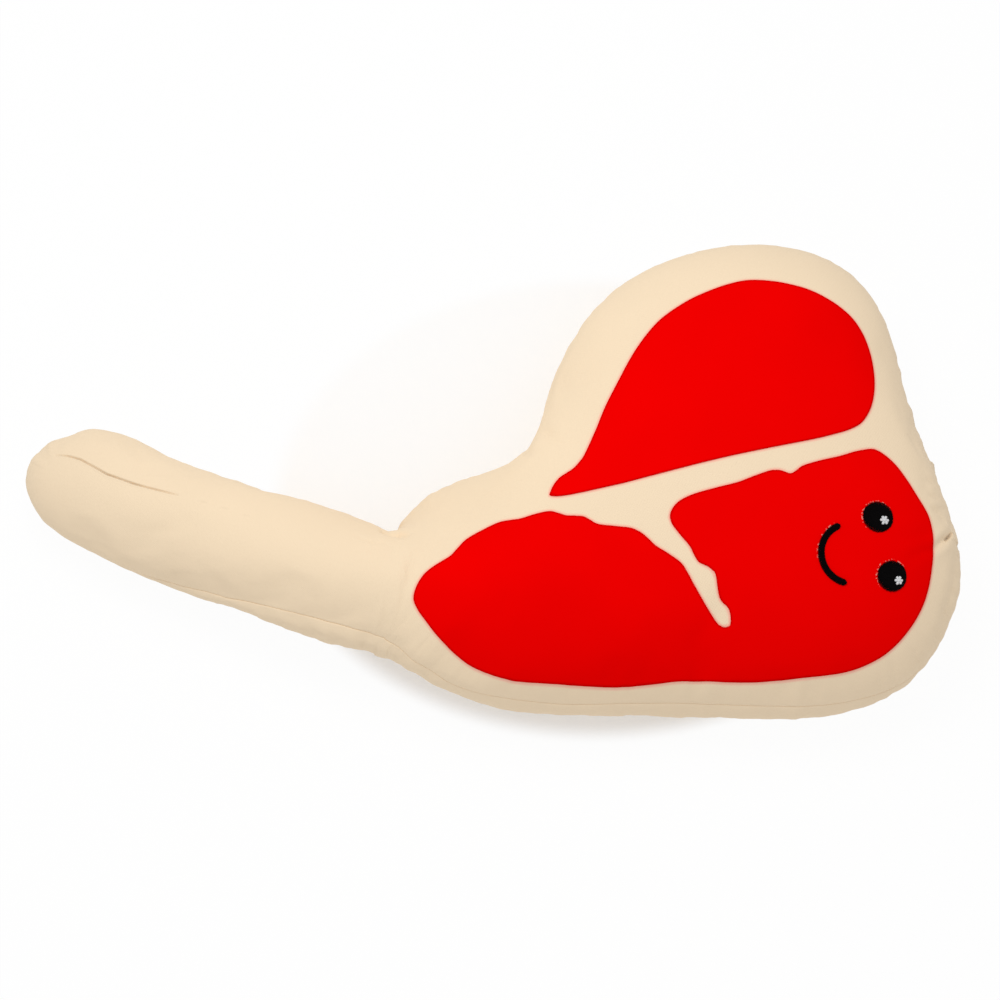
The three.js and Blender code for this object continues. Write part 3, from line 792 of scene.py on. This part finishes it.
def map_cloth(piece):
    """Lays the cloth flat, cut at the seam, on a map in metres that its weave follows."""
    every = 7
    only(piece)
    bpy.ops.object.mode_set(mode="EDIT")
    shape = bmesh.from_edit_mesh(piece.data)
    side = shape.faces.layers.int["side"]
    for edge in shape.edges:
        edge.seam = sorted(face[side] for face in edge.link_faces) == [0, 1]
    bmesh.update_edit_mesh(piece.data)
    bpy.ops.mesh.select_all(action="SELECT")
    bpy.ops.uv.unwrap(method="CONFORMAL", margin=0.01)
    bpy.ops.object.mode_set(mode="OBJECT")
    mesh = piece.data
    cloth = mesh.uv_layers.active
    cloth.name = "weave"
    flat = np.zeros(len(mesh.loops) * 2)
    cloth.data.foreach_get("uv", flat)
    flat = flat.reshape(-1, 2)
    places = places_of(mesh)
    real = mapped = 0.0
    for face in list(mesh.polygons)[::every]:
        corners = list(face.loop_indices)
        for a, b in zip(corners, corners[1:] + corners[:1]):
            start, end = [places[mesh.loops[corner].vertex_index] for corner in (a, b)]
            real += np.linalg.norm(start - end)
            mapped += np.linalg.norm(flat[a] - flat[b])
    cloth.data.foreach_set("uv", (flat * (real / mapped)).ravel())


def stuff(piece, sizes):
    """Blows the cloth out with the stuffing's pressure, up to the travel, while the seam holds it."""
    steps = 20
    mesh = piece.data
    before = places_of(mesh)
    pins = piece.vertex_groups.new(name="seam")
    pins.add(seam_of(mesh).tolist(), 1.0, "REPLACE")
    only(piece)
    bpy.ops.object.modifier_add(type="CLOTH")
    cloth = piece.modifiers[-1]
    settings = {
        "quality": 6, "mass": 0.2, "tension_stiffness": 20, "compression_stiffness": 12,
        "shear_stiffness": 8, "bending_stiffness": 0.3, "air_damping": 2, "use_pressure": True,
        "uniform_pressure_force": sizes.pressure, "shrink_min": -sizes.slack,
        "vertex_group_mass": "seam",
    }
    for name, value in settings.items():
        setattr(cloth.settings, name, value)
    cloth.settings.effector_weights.gravity = 0
    cloth.collision_settings.use_collision = False
    for step in range(1, steps + 1):
        bpy.context.scene.frame_set(step)
    bpy.ops.object.modifier_apply(modifier=cloth.name)
    bpy.context.scene.frame_set(1)
    moved = places_of(mesh) - before
    far = np.linalg.norm(moved, axis=1, keepdims=True)
    moved *= sizes.travel * np.tanh(far / sizes.travel) / np.maximum(far, 1e-9)
    move_to(mesh, before + moved)
    piece.vertex_groups.clear()


def pucker(mesh, sizes):
    """Small puckers that run out from the seam, square to it, and lumps under the neck."""
    reach, peak = 24 * MM, 8 * MM
    width, lump_width = 7 * MM, 8 * MM
    end_x, end_reach, end_share = 168 * MM, 18 * MM, 1.4
    neck_x, neck_reach, neck_share = -45 * MM, 32 * MM, 2.6
    seam = seam_of(mesh)
    places, normals = places_of(mesh), normals_of(mesh)
    run = along(places[seam])
    tree = tree_of(places[seam])
    behind = behind_of(mesh)
    lift = np.zeros(len(places))
    for vertex, place in enumerate(places):
        _, order, away = tree.find(place)
        if away > reach:
            continue
        wave = noise.noise((run[order] * 190, 0, 0)) + 0.5 * noise.noise((run[order] * 420, 5, 0))
        size = 1 + end_share * math.exp(-(((place[0] - end_x) / end_reach) ** 2))
        lift[vertex] = wave * size * math.exp(-((away - peak) / width) ** 2)
        if behind[vertex] and place[1] < 0:
            below = math.exp(-(((place[0] - neck_x) / neck_reach) ** 4))
            lump = noise.noise((run[order] * 130, 9, 0))
            lump += 0.4 * noise.noise((run[order] * 300, 12, away * 200))
            lift[vertex] += neck_share * below * lump * math.exp(-((away - peak) / lump_width) ** 2)
    move_to(mesh, places + normals * lift[:, None] * sizes.pucker * 2)


def crease(piece, line, depth, width, swell):
    """Presses a crease into the cloth along a line, on finer faces, and marks it where it is sharp, for
    painted shade in the cloth's colour.
    """
    swell_place, swell_width = 2.4, 1.4
    margin = 0.8 * MM
    full_depth = 1.2 * MM
    skin = faces_of(piece.data)
    line = np.array([skin.find_nearest(Vector(point) * MM)[0] for point in line])
    depth, width, swell = depth * MM, width * MM, swell * MM
    cuts = [cuts for limit, cuts in CREASE_CUTS if width < limit]
    if cuts:
        only(piece)
        bpy.ops.object.mode_set(mode="EDIT")
        middles = np.array([face.center for face in piece.data.polygons])
        near = off_line(middles, line)[0] < 3 * width + margin
        pick(piece, "faces", lambda face: near[face.index])
        bpy.ops.mesh.subdivide(number_cuts=cuts[0])
        bpy.ops.object.mode_set(mode="OBJECT")
    mesh = piece.data
    places, normals = places_of(mesh), normals_of(mesh)
    away, share = off_line(places, line)
    ends = np.sqrt(np.clip(np.sin(math.pi * share), 0, 1))
    waver = np.array([noise.noise((part * 9, 4, 2)) for part in share])
    hollow = np.exp(-((away / width) ** 2))
    press = -depth * hollow * (1 + 0.3 * waver)
    press += swell * np.exp(-(((away - swell_place * width) / (swell_width * width)) ** 2))
    move_to(mesh, places + normals * (press * ends)[:, None])
    # A sharp crease is marked for painted shade in the cloth's colour, stronger where the crease is deeper
    if width < SHARP_CREASE:
        mark = mesh.attributes.get("crease") or mesh.attributes.new("crease", "FLOAT", "POINT")
        for vertex, painted_shade in enumerate(hollow * ends * min(1, depth / full_depth)):
            mark.data[vertex].value = max(mark.data[vertex].value, painted_shade)


def rest_flat(mesh):
    """Keeps the cloth just above the table, not in it."""
    gap = 0.02 * MM
    places = places_of(mesh)
    places[:, 2] = np.maximum(places[:, 2], gap)
    move_to(mesh, places)


def seam_frame(mesh):
    """The seam's places, and at each the way out of the cloth and the way into the front panel."""
    rounds = 4
    seam = seam_of(mesh)
    places, normals = places_of(mesh), normals_of(mesh)
    rim = places[seam]
    outward = normals[seam]
    inward = unit(np.cross(outward, np.roll(rim, -1, axis=0) - np.roll(rim, 1, axis=0)))
    middles = np.zeros_like(places)
    for face, side in zip(mesh.polygons, mesh.attributes["side"].data):
        if side.value == 0:
            for vertex in face.vertices:
                middles[vertex] += np.array(face.center) - places[vertex]
    if (middles[seam] * inward).sum() < 0:
        inward = -inward
    for _ in range(rounds):
        outward, inward = [
            (np.roll(way, 1, axis=0) + 2 * way + np.roll(way, -1, axis=0)) / 4
            for way in (outward, inward)]
    return rim, unit(outward), unit(inward)


def roll_radius(mesh, largest):
    """Radius of the edge's roll at each seam point, which is small where the cloth's points crowd."""
    room_share = 0.4
    near = range(-3, 4)
    seam = seam_of(mesh)
    order = {vertex: step for step, vertex in enumerate(seam.tolist())}
    places = places_of(mesh)
    room = np.full(len(seam), 1.0)
    for edge in mesh.edges:
        ends = [order.get(vertex) for vertex in edge.vertices]
        if ends.count(None) == 1:
            step = ends[0] if ends[1] is None else ends[1]
            start, end = places[list(edge.vertices)]
            room[step] = min(room[step], np.linalg.norm(start - end))
    room = np.min([np.roll(room, step) for step in near], axis=0)
    radius = np.minimum(largest, room_share * room)
    return (sum(np.roll(radius, step) for step in near) / len(near))[:, None]


def split(piece, side, name):
    """One panel of the skin."""
    panel = piece_of(name, piece.data.copy())
    bpy.ops.object.mode_set(mode="EDIT")
    layer = bmesh.from_edit_mesh(panel.data).faces.layers.int["side"]
    pick(panel, "faces", lambda face: face[layer] != side)
    bpy.ops.mesh.delete(type="FACE")
    bpy.ops.object.mode_set(mode="OBJECT")
    return panel


def turn_in(panel, seam, outward, inward, radius, allowance):
    """Rolls a panel's edge into the seam and turns its allowance in."""
    rings = [seam + inward * radius * across - outward * radius * down for across, down in ROLL]
    rings.append(seam + inward * radius * ROLL[-1][0] - outward * allowance)
    only(panel)
    bpy.ops.object.mode_set(mode="EDIT")
    near = seam
    for order, ring in enumerate(rings):
        if order:
            bpy.ops.mesh.extrude_region_move(TRANSFORM_OT_translate={"value": (0, 0, 0)})
        else:
            pick(panel, "edges", lambda edge: edge.is_boundary)
        tree = tree_of(near)
        shape = bmesh.from_edit_mesh(panel.data)
        for vertex in shape.verts:
            if vertex.select:
                vertex.co = ring[tree.find(vertex.co)[1]]
        bmesh.update_edit_mesh(panel.data)
        near = ring
    bpy.ops.object.mode_set(mode="OBJECT")


class TOY_OT_sew_cover(bpy.types.Operator):
    """Sews, stuffs and puckers the cream cover, in two panels"""

    bl_idname = "dog_toy.sew_cover"
    bl_label = "Sew the cover"

    def execute(self, context):
        sizes = context.scene.dog_toy_cover
        cover = joined_skins(sizes.least_stitch)
        finish_with(cover, "SUBSURF", levels=2, render_levels=2)
        bulge(cover.data)
        ease_neck(cover, times=60)
        map_cloth(cover)
        stuff(cover, sizes)
        ease_neck(cover, times=16)
        finish_with(cover, "SUBSURF", levels=1, render_levels=1)
        pucker(cover.data, sizes)
        for line in CREASES:
            crease(cover, *line)
        rest_flat(cover.data)
        made["skin"] = cover.data.copy()
        rim, outward, inward = seam_frame(cover.data)
        radius = roll_radius(cover.data, sizes.fold)
        cloth = cream_cloth(tuple(sizes.cream))
        for side, name in enumerate(("front_cover", "back_cover")):
            panel = split(cover, side, name)
            turn_in(panel, rim, outward, -inward if side else inward, radius, sizes.allowance)
            finish_with(panel, "SOLIDIFY", thickness=sizes.cloth, offset=-1.0)
            soften(panel)
            hand_over(panel, cloth, PANELS[side])
        bpy.data.objects.remove(cover)
        return {"FINISHED"}


# Making the meat areas

def top_outline(node):
    """The outline of a meat area's top, seen from above."""
    solid = node_copy("solid", node)
    shape = bmesh.new()
    shape.from_mesh(solid.data)
    joined = {}
    for edge in shape.edges:
        if len(edge.link_faces) == 2:
            side, top = sorted(face.normal.z for face in edge.link_faces)
            if abs(side) < 0.1 and top > 0.3:
                join(joined, *(vertex.index for vertex in edge.verts))
    shape.verts.ensure_lookup_table()
    outline = np.array([shape.verts[index].co.xy for index in walk(joined)])
    shape.free()
    bpy.data.objects.remove(solid)
    return outline


def smoothed(outline):
    """A smooth curve through an outline's corners, counterclockwise."""
    least_turn = 0.004
    spacing = 0.5 * MM
    before = outline - np.roll(outline, 1, axis=0)
    after = np.roll(outline, -1, axis=0) - outline
    turn = np.abs(before[:, 0] * after[:, 1] - before[:, 1] * after[:, 0])
    turn /= np.linalg.norm(before, axis=1) * np.linalg.norm(after, axis=1) + 1e-12
    outline = outline[turn > least_turn]
    smooth = []
    count = len(outline)
    for index in range(count):
        a, b, c, d = (outline[(index + step) % count] for step in (-1, 0, 1, 2))
        steps = max(2, int(np.linalg.norm(c - b) / spacing))
        for part in np.arange(steps) / steps:
            smooth.append(0.5 * (2 * b + (c - a) * part + (2 * a - 5 * b + 4 * c - d) * part ** 2
                                 + (3 * b - 3 * c + d - a) * part ** 3))
    if clockwise(smooth):
        smooth.reverse()
    return np.array([(*place, 0) for place in smooth])


def punch(outline):
    """An upright die with an outline, taller than the toy's front."""
    foot, height = 20 * MM, 70 * MM
    count = len(outline)
    mesh = bpy.data.meshes.new("punch")
    mesh.from_pydata(
        [(x, y, foot) for x, y, _ in outline], [(i, (i + 1) % count) for i in range(count)], [])
    die = piece_of("punch", mesh)
    bpy.ops.object.mode_set(mode="EDIT")
    bpy.ops.mesh.select_all(action="SELECT")
    bpy.ops.mesh.edge_face_add()
    bpy.ops.mesh.extrude_region_move(TRANSFORM_OT_translate={"value": (0, 0, height)})
    bpy.ops.mesh.select_all(action="SELECT")
    bpy.ops.mesh.normals_make_consistent(inside=False)
    bpy.ops.object.mode_set(mode="OBJECT")
    return die


def mark_edge(mesh, outline, within):
    """Marks each point by how far it lies inside a film's outline, in millimetres.

    The film's own marks rise from 0 at its edge, and the cloth's fall from the full reach there."""
    mark = mesh.attributes.get("edge") or mesh.attributes.new("edge", "FLOAT", "POINT")
    tree = tree_of(outline)
    nexts = np.roll(outline, -1, axis=0)
    for vertex, place in enumerate(places_of(mesh)):
        place[2] = 0
        _, near, away = tree.find(place)
        if away > EDGE_REACH * MM:
            if within:
                mark.data[vertex].value = EDGE_REACH
            continue
        best = None
        for start in (near - 1, near):
            run = nexts[start] - outline[start]
            share = min(1, max(0, (place - outline[start]) @ run / (run @ run)))
            off = place - outline[start] - run * share
            if best is None or np.linalg.norm(off) < abs(best):
                best = math.copysign(np.linalg.norm(off), run[0] * off[1] - run[1] * off[0])
        mark.data[vertex].value = best / MM if within else EDGE_REACH + best / MM


def round_of(node):
    """Middle and radius of a round node."""
    low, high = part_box(node)
    return (low + high) / 2, (high - low).x / 2


class TOY_OT_press_meat(bpy.types.Operator):
    """Fuses the red meat areas onto the front of the cover"""

    bl_idname = "dog_toy.press_meat"
    bl_label = "Press on the meat areas"

    def execute(self, context):
        margin, lift = 6 * MM, 0.06 * MM
        sizes = context.scene.dog_toy_cover
        smile = context.scene.dog_toy_face
        if "skin" not in made:
            raise RuntimeError("the meat areas need the cover: sew it first")
        stitched = [(*round_of(node), math.radians(130), -0.1) for node in ("left_eye", "right_eye")]
        smile_outside = smile.smile_radius + smile.smile_width / 2
        stitched.append((smile_middle(smile), smile_outside, math.radians(155), 0.75))
        film = red_film(tuple(sizes.red), stitched)
        for node in MEAT:
            low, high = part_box(node)
            outline = smoothed(top_outline(node))
            cutter = punch(outline)
            sheet = piece_of(f"{node}_film", made["skin"].copy())
            bpy.ops.object.mode_set(mode="EDIT")
            layer = bmesh.from_edit_mesh(sheet.data).faces.layers.int["side"]

            def apart(face):
                """Whether a face is on the back or clear of the meat area."""
                place = face.calc_center_median()
                return face[layer] == 1 or not all(
                    low[axis] - margin < place[axis] < high[axis] + margin for axis in (0, 1))

            pick(sheet, "faces", apart)
            bpy.ops.mesh.delete(type="FACE")
            bpy.ops.object.mode_set(mode="OBJECT")
            mesh = sheet.data
            move_to(mesh, places_of(mesh) + normals_of(mesh) * lift)
            finish_with(sheet, "SOLIDIFY", thickness=sizes.film, offset=1.0)
            finish_with(sheet, "BOOLEAN", operation="INTERSECT", solver="EXACT", object=cutter)
            bpy.data.objects.remove(cutter)
            mark_edge(sheet.data, outline, True)
            mark_edge(bpy.data.objects["front_cover"].data, outline, False)
            only(sheet)
            bpy.ops.object.shade_smooth_by_angle(angle=math.radians(40))
            hand_over(sheet, film, node)
        return {"FINISHED"}


# Embroidering the face

def smile_middle(sizes):
    """Middle of the smile's arc."""
    low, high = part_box("smile")
    reach = sizes.smile_width / 2
    top = sizes.smile_radius * math.sin(sizes.smile_start) + reach
    return Vector((low.x + sizes.smile_radius + reach, high.y - top, 0))


def unit_stitch():
    """One stitch of unit length and radius along X, cut across for its arch, as places and faces."""
    cuts = (-0.46, -0.34, -0.17, 0, 0.17, 0.34, 0.46)
    bpy.ops.object.select_all(action="DESELECT")
    bpy.ops.mesh.primitive_cylinder_add(vertices=6, radius=1, depth=1)
    stitch = bpy.context.active_object
    bpy.ops.object.mode_set(mode="EDIT")
    for share in cuts:
        bpy.ops.mesh.select_all(action="SELECT")
        bpy.ops.mesh.bisect(plane_co=(0, 0, share), plane_no=(0, 0, 1))
    bpy.ops.object.mode_set(mode="OBJECT")
    places = places_of(stitch.data)[:, [2, 0, 1]]
    faces = [list(face.vertices) for face in stitch.data.polygons]
    bpy.data.objects.remove(stitch)
    return places, faces


def sew(name, stitches, radius):
    """A piece of many stitches, each given by its two ends, the outward direction and its arch."""
    stitch, stitch_faces = unit_stitch()
    x = stitch[:, :1]
    taper = 1 - 0.55 * (2 * x) ** 6
    places, faces = [], []
    for start, end, out, arch in stitches:
        run = end - start
        side = out.cross(run).normalized()
        up = run.cross(side).normalized()
        rise = arch * (1 - (2 * x) ** 4)
        faces += [[len(places) + i for i in face] for face in stitch_faces]
        places += list(
            np.array((start + end) / 2) + x * np.array(run)
            + stitch[:, 1:2] * taper * radius * np.array(side)
            + (stitch[:, 2:] * taper * radius + rise) * np.array(up))
    mesh = bpy.data.meshes.new(name)
    mesh.from_pydata([tuple(place) for place in places], [], faces)
    piece = piece_of(name, mesh)
    bpy.ops.object.mode_set(mode="EDIT")
    bpy.ops.mesh.select_all(action="SELECT")
    bpy.ops.mesh.normals_make_consistent(inside=False)
    bpy.ops.object.mode_set(mode="OBJECT")
    soften(piece)
    return piece


def cover_tree():
    """Finds places on the sewn cover."""
    if "tree" not in made:
        made["tree"] = faces_of(made["skin"])
    return made["tree"]


def cloth_below(x, y):
    """Place and outward direction of the cover's front under a point seen from above."""
    place, normal, _, _ = cover_tree().ray_cast(Vector((x, y, 0.2)), Vector((0, 0, -1)))
    if place is None:
        raise RuntimeError(f"nothing of the cover lies under {x}, {y}")
    return place, normal


def laid(direction, out):
    """A direction turned to lie on the cloth."""
    return (direction - out * direction.dot(out)).normalized()


def satin_disc(node, sizes, level):
    """Rows of satin stitches that fill a round node's shape, domed in its middle."""
    dome, uneven = 0.9 * MM, 0.22 * MM
    middle, radius = round_of(node)
    place, out = cloth_below(middle.x, middle.y)
    run = laid(Vector((math.cos(sizes.lay), math.sin(sizes.lay), 0)), out)
    side = out.cross(run)
    stitches = []
    count = int(2 * radius / sizes.spacing)
    for row in range(count + 1):
        offset = -radius + (row + 0.5) * 2 * radius / (count + 1)
        half = math.sqrt(max(radius ** 2 - offset ** 2, 0))
        half += uneven * noise.noise((row * 1.7, radius * 900, 3))
        if half < sizes.spacing:
            continue
        shift = uneven * 0.6 * noise.noise((row * 2.3, radius * 700, 9))
        rise = dome * (1 - (offset / radius) ** 2)
        row_middle = place + side * offset + run * shift + out * level
        stitches.append((row_middle - run * half, row_middle + run * half, out, rise))
    return stitches


def petals(node, level):
    """Short raised stitches that run out from the middle of a glint, and one across it."""
    count = 6
    arch, knot_arch = 0.16 * MM, 0.2 * MM
    middle, radius = round_of(node)
    place, out = cloth_below(middle.x, middle.y)
    across = laid(Vector((1, 0, 0)), out)
    up = out.cross(across)
    foot = place + out * level
    stitches = []
    for petal in range(count):
        angle = petal * math.tau / count + 0.25 * noise.noise((petal * 3.1, radius * 800, 1))
        ray = across * math.cos(angle) + up * math.sin(angle)
        reach = radius * (0.94 + 0.08 * noise.noise((petal * 1.3, radius * 500, 5)))
        stitches.append((foot + ray * radius * 0.2, foot + ray * reach, out, arch))
    knot = place + out * (level + knot_arch)
    stitches.append((knot - across * radius * 0.4, knot + across * radius * 0.4, out, knot_arch))
    return stitches


def satin_arc(sizes, level):
    """Satin stitches across the smile's arc, shorter at its round ends."""
    arch, uneven = 0.6 * MM, 0.12 * MM
    half_width = sizes.smile_width / 2
    centre = smile_middle(sizes)
    sweep = sizes.smile_end - sizes.smile_start
    count = int(sweep * sizes.smile_radius / sizes.spacing)
    over = half_width / sizes.smile_radius
    extra = int(over * count / sweep)
    stitches = []
    for row in range(-extra, count + extra + 1):
        angle = sizes.smile_start + sweep * row / count
        past = max(sizes.smile_start - angle, angle - sizes.smile_end, 0) / over
        half = half_width * math.sqrt(max(1 - past ** 2, 0.05))
        half += uneven * noise.noise((row * 1.9, 2, 7))
        direction = Vector((math.cos(angle), math.sin(angle), 0))
        at = centre + direction * sizes.smile_radius
        place, out = cloth_below(at.x, at.y)
        run = laid(direction, out)
        middle = place + out * level
        stitches.append((middle - run * half, middle + run * half, out, arch))
    return stitches


class TOY_OT_embroider_face(bpy.types.Operator):
    """Embroiders the eyes, their glints and the smile in satin stitch"""

    bl_idname = "dog_toy.embroider_face"
    bl_label = "Embroider the face"

    def execute(self, context):
        sizes = context.scene.dog_toy_face
        black = thread("black_thread", (0.0012, 0.0008, 0.001), 0.55, 0.03)
        white = thread("white_thread", (0.72, 0.73, 0.74), 0.5, 0.3)
        level = context.scene.dog_toy_cover.film + 0.1 * MM
        for node in ("left_eye", "right_eye"):
            eye = sew(f"{node}_satin", satin_disc(node, sizes, level), sizes.thread)
            hand_over(eye, black, node)
            glint = f"{node}_glint"
            stitches = petals(glint, level + 1.0 * MM)
            star = sew(f"{glint}_satin", stitches, round_of(glint)[1] * 0.3)
            hand_over(star, white, glint)
        smile = sew("smile_satin", satin_arc(sizes, level), sizes.thread)
        hand_over(smile, black, "smile")
        return {"FINISHED"}


class TOY_OT_fill_cover(bpy.types.Operator):
    """Fills the cover with lumpy fibre"""

    bl_idname = "dog_toy.fill_cover"
    bl_label = "Fill the cover"

    def execute(self, context):
        voxel, least = 3 * MM, 0.4 * MM
        sizes = context.scene.dog_toy_fill
        fibre = fibre_fill()
        for node in FILLS:
            fill = node_copy(f"{node}_fibre", node)
            fill.data.remesh_voxel_size = voxel
            bpy.ops.object.voxel_remesh()
            mesh = fill.data
            places, normals = places_of(mesh), normals_of(mesh)
            lumps = [noise.fractal(Vector(place) / sizes.tuft, 1.0, 2.0, 3) for place in places]
            dents = least + sizes.lump * (0.5 + 0.5 * np.clip(lumps, -1, 1))
            places -= normals * dents[:, None]
            for place in places:
                cloth, out, _, _ = cover_tree().find_nearest(Vector(place))
                inside = (cloth - Vector(place)).dot(out)
                if inside < sizes.clear:
                    place[:] = cloth - out * sizes.clear
            move_to(mesh, places)
            soften(fill)
            hand_over(fill, fibre, node)
        return {"FINISHED"}


class TOY_OT_fit_squeaker(bpy.types.Operator):
    """Finishes the squeaker and the backing behind the face"""

    bl_idname = "dog_toy.fit_squeaker"
    bl_label = "Fit the squeaker"

    def execute(self, context):
        soft = plastic("soft_plastic", (0.78, 0.80, 0.80), 0.4)
        hard = plastic("hard_plastic", (0.86, 0.86, 0.84), 0.3)
        finishes = {
            "squeaker_bulb": soft, "squeaker_cap": hard, "squeaker_reed": hard,
            "face_backing": backing_cloth(),
        }
        for node, finish in finishes.items():
            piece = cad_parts[node]
            if not piece.material_slots:
                piece.data.materials.append(finish)
            piece.material_slots[0].material = finish
        return {"FINISHED"}


# Setting the stage

def lay_table(paper):
    """A white table that keeps the toy's shadow near it and shows as white paper further out."""
    middle_x, half_length, half_width = 40 * MM, 130.5 * MM, 96.4 * MM
    bpy.ops.object.select_all(action="DESELECT")
    bpy.ops.mesh.primitive_plane_add(size=6, location=(0, 0, -0.0002))
    table = bpy.context.active_object
    table.name = "table"
    bpy.ops.object.transform_apply(location=True, rotation=False, scale=False)
    white = Finish("white_table", (1.0, 1.0, 1.0), 0.9, specular=0.0)
    white.rough(0.88 + white.noise(0.4, detail=1.0) * 0.04)
    x, y, _ = white.parts(white.where())
    away = (((x - middle_x) / half_length) ** 2.0 + (y / half_width) ** 2.0) ** 0.5
    share = paper + away.above(0.87, 0.96) * (0.95 - paper)
    lit = Wire(white, white.shader.outputs[0])
    glow = white.node("ShaderNodeEmission", {}, {"Color": (1, 1, 1, 1), "Strength": 1.0})
    surface = white.node("ShaderNodeMixShader", {}, {0: white.shown() * share, 1: lit, 2: glow})
    white.feed(white.tree.nodes["Material Output"], {"Surface": surface})
    table.data.materials.append(white.material)


class TOY_OT_set_stage(bpy.types.Operator):
    """Lays the white table and sets the camera and the light"""

    bl_idname = "dog_toy.set_stage"
    bl_label = "Set the stage"

    def execute(self, context):
        sizes = context.scene.dog_toy_stage
        scene = context.scene
        lay_table(sizes.paper)

        back = Vector((0, -math.cos(sizes.height), math.sin(sizes.height)))
        bpy.ops.object.camera_add(location=Vector(sizes.aim) + back * sizes.distance)
        camera = context.active_object
        camera.name = "camera"
        camera.rotation_euler = (-back).to_track_quat("-Z", "Y").to_euler()
        camera.data.lens = sizes.lens
        camera.data.sensor_width = 36
        camera.data.clip_start, camera.data.clip_end = 0.05, 20
        scene.camera = camera

        cloth_height = 50 * MM
        stand = Vector(sizes.stand)
        reach = stand.z - cloth_height
        bpy.ops.object.light_add(type="AREA", location=stand)
        key = context.active_object
        key.name = "soft_box"
        key.rotation_euler = stand.normalized().to_track_quat("Z", "Y").to_euler()
        key.data.shape = "SQUARE"
        key.data.size = sizes.soft_box
        key.data.energy = sizes.key * math.pi ** 2 * reach ** 2

        scene.world = scene.world or bpy.data.worlds.new("studio")
        scene.world.use_nodes = True
        studio = Nodes(scene.world.node_tree)
        studio.tree.nodes.clear()
        sky, paper = [
            studio.node("ShaderNodeBackground", {}, {"Color": (1, 1, 1, 1), "Strength": strength})
            for strength in (sizes.sky, 1.0)]
        light = studio.node("ShaderNodeMixShader", {}, {0: studio.shown(), 1: sky, 2: paper})
        studio.node("ShaderNodeOutputWorld", {}, {"Surface": light})
        scene.view_settings.view_transform = "Standard"
        return {"FINISHED"}


STEPS = (
    TOY_OT_sew_cover, TOY_OT_press_meat, TOY_OT_embroider_face,
    TOY_OT_fill_cover, TOY_OT_fit_squeaker, TOY_OT_set_stage,
)


class TOY_PT_panel(bpy.types.Panel):
    """Lists the steps of the toy and their sizes"""

    bl_idname = "TOY_PT_panel"
    bl_label = "Steak Dog Toy"
    bl_space_type = "VIEW_3D"
    bl_region_type = "UI"
    bl_category = "Dog Toy"

    def draw(self, context):
        for name in GROUPS:
            box = self.layout.box()
            sizes = getattr(context.scene, name)
            for key in type(sizes).__annotations__:
                box.prop(sizes, key)
        for step in STEPS:
            self.layout.operator(step.bl_idname)


GROUPS = {
    "dog_toy_cover": CoverSizes,
    "dog_toy_face": FaceSizes,
    "dog_toy_fill": FillSizes,
    "dog_toy_stage": StageSizes,
}
CLASSES = (*GROUPS.values(), *STEPS, TOY_PT_panel)


def register():
    for one in CLASSES:
        bpy.utils.register_class(one)
    for name, group in GROUPS.items():
        setattr(bpy.types.Scene, name, PointerProperty(type=group))


def unregister():
    for name in GROUPS:
        delattr(bpy.types.Scene, name)
    for one in reversed(CLASSES):
        bpy.utils.unregister_class(one)


def main():
    register()
    for step in STEPS:
        group, name = step.bl_idname.split(".")
        getattr(getattr(bpy.ops, group), name)()


if __name__ == "__main__":
    main()
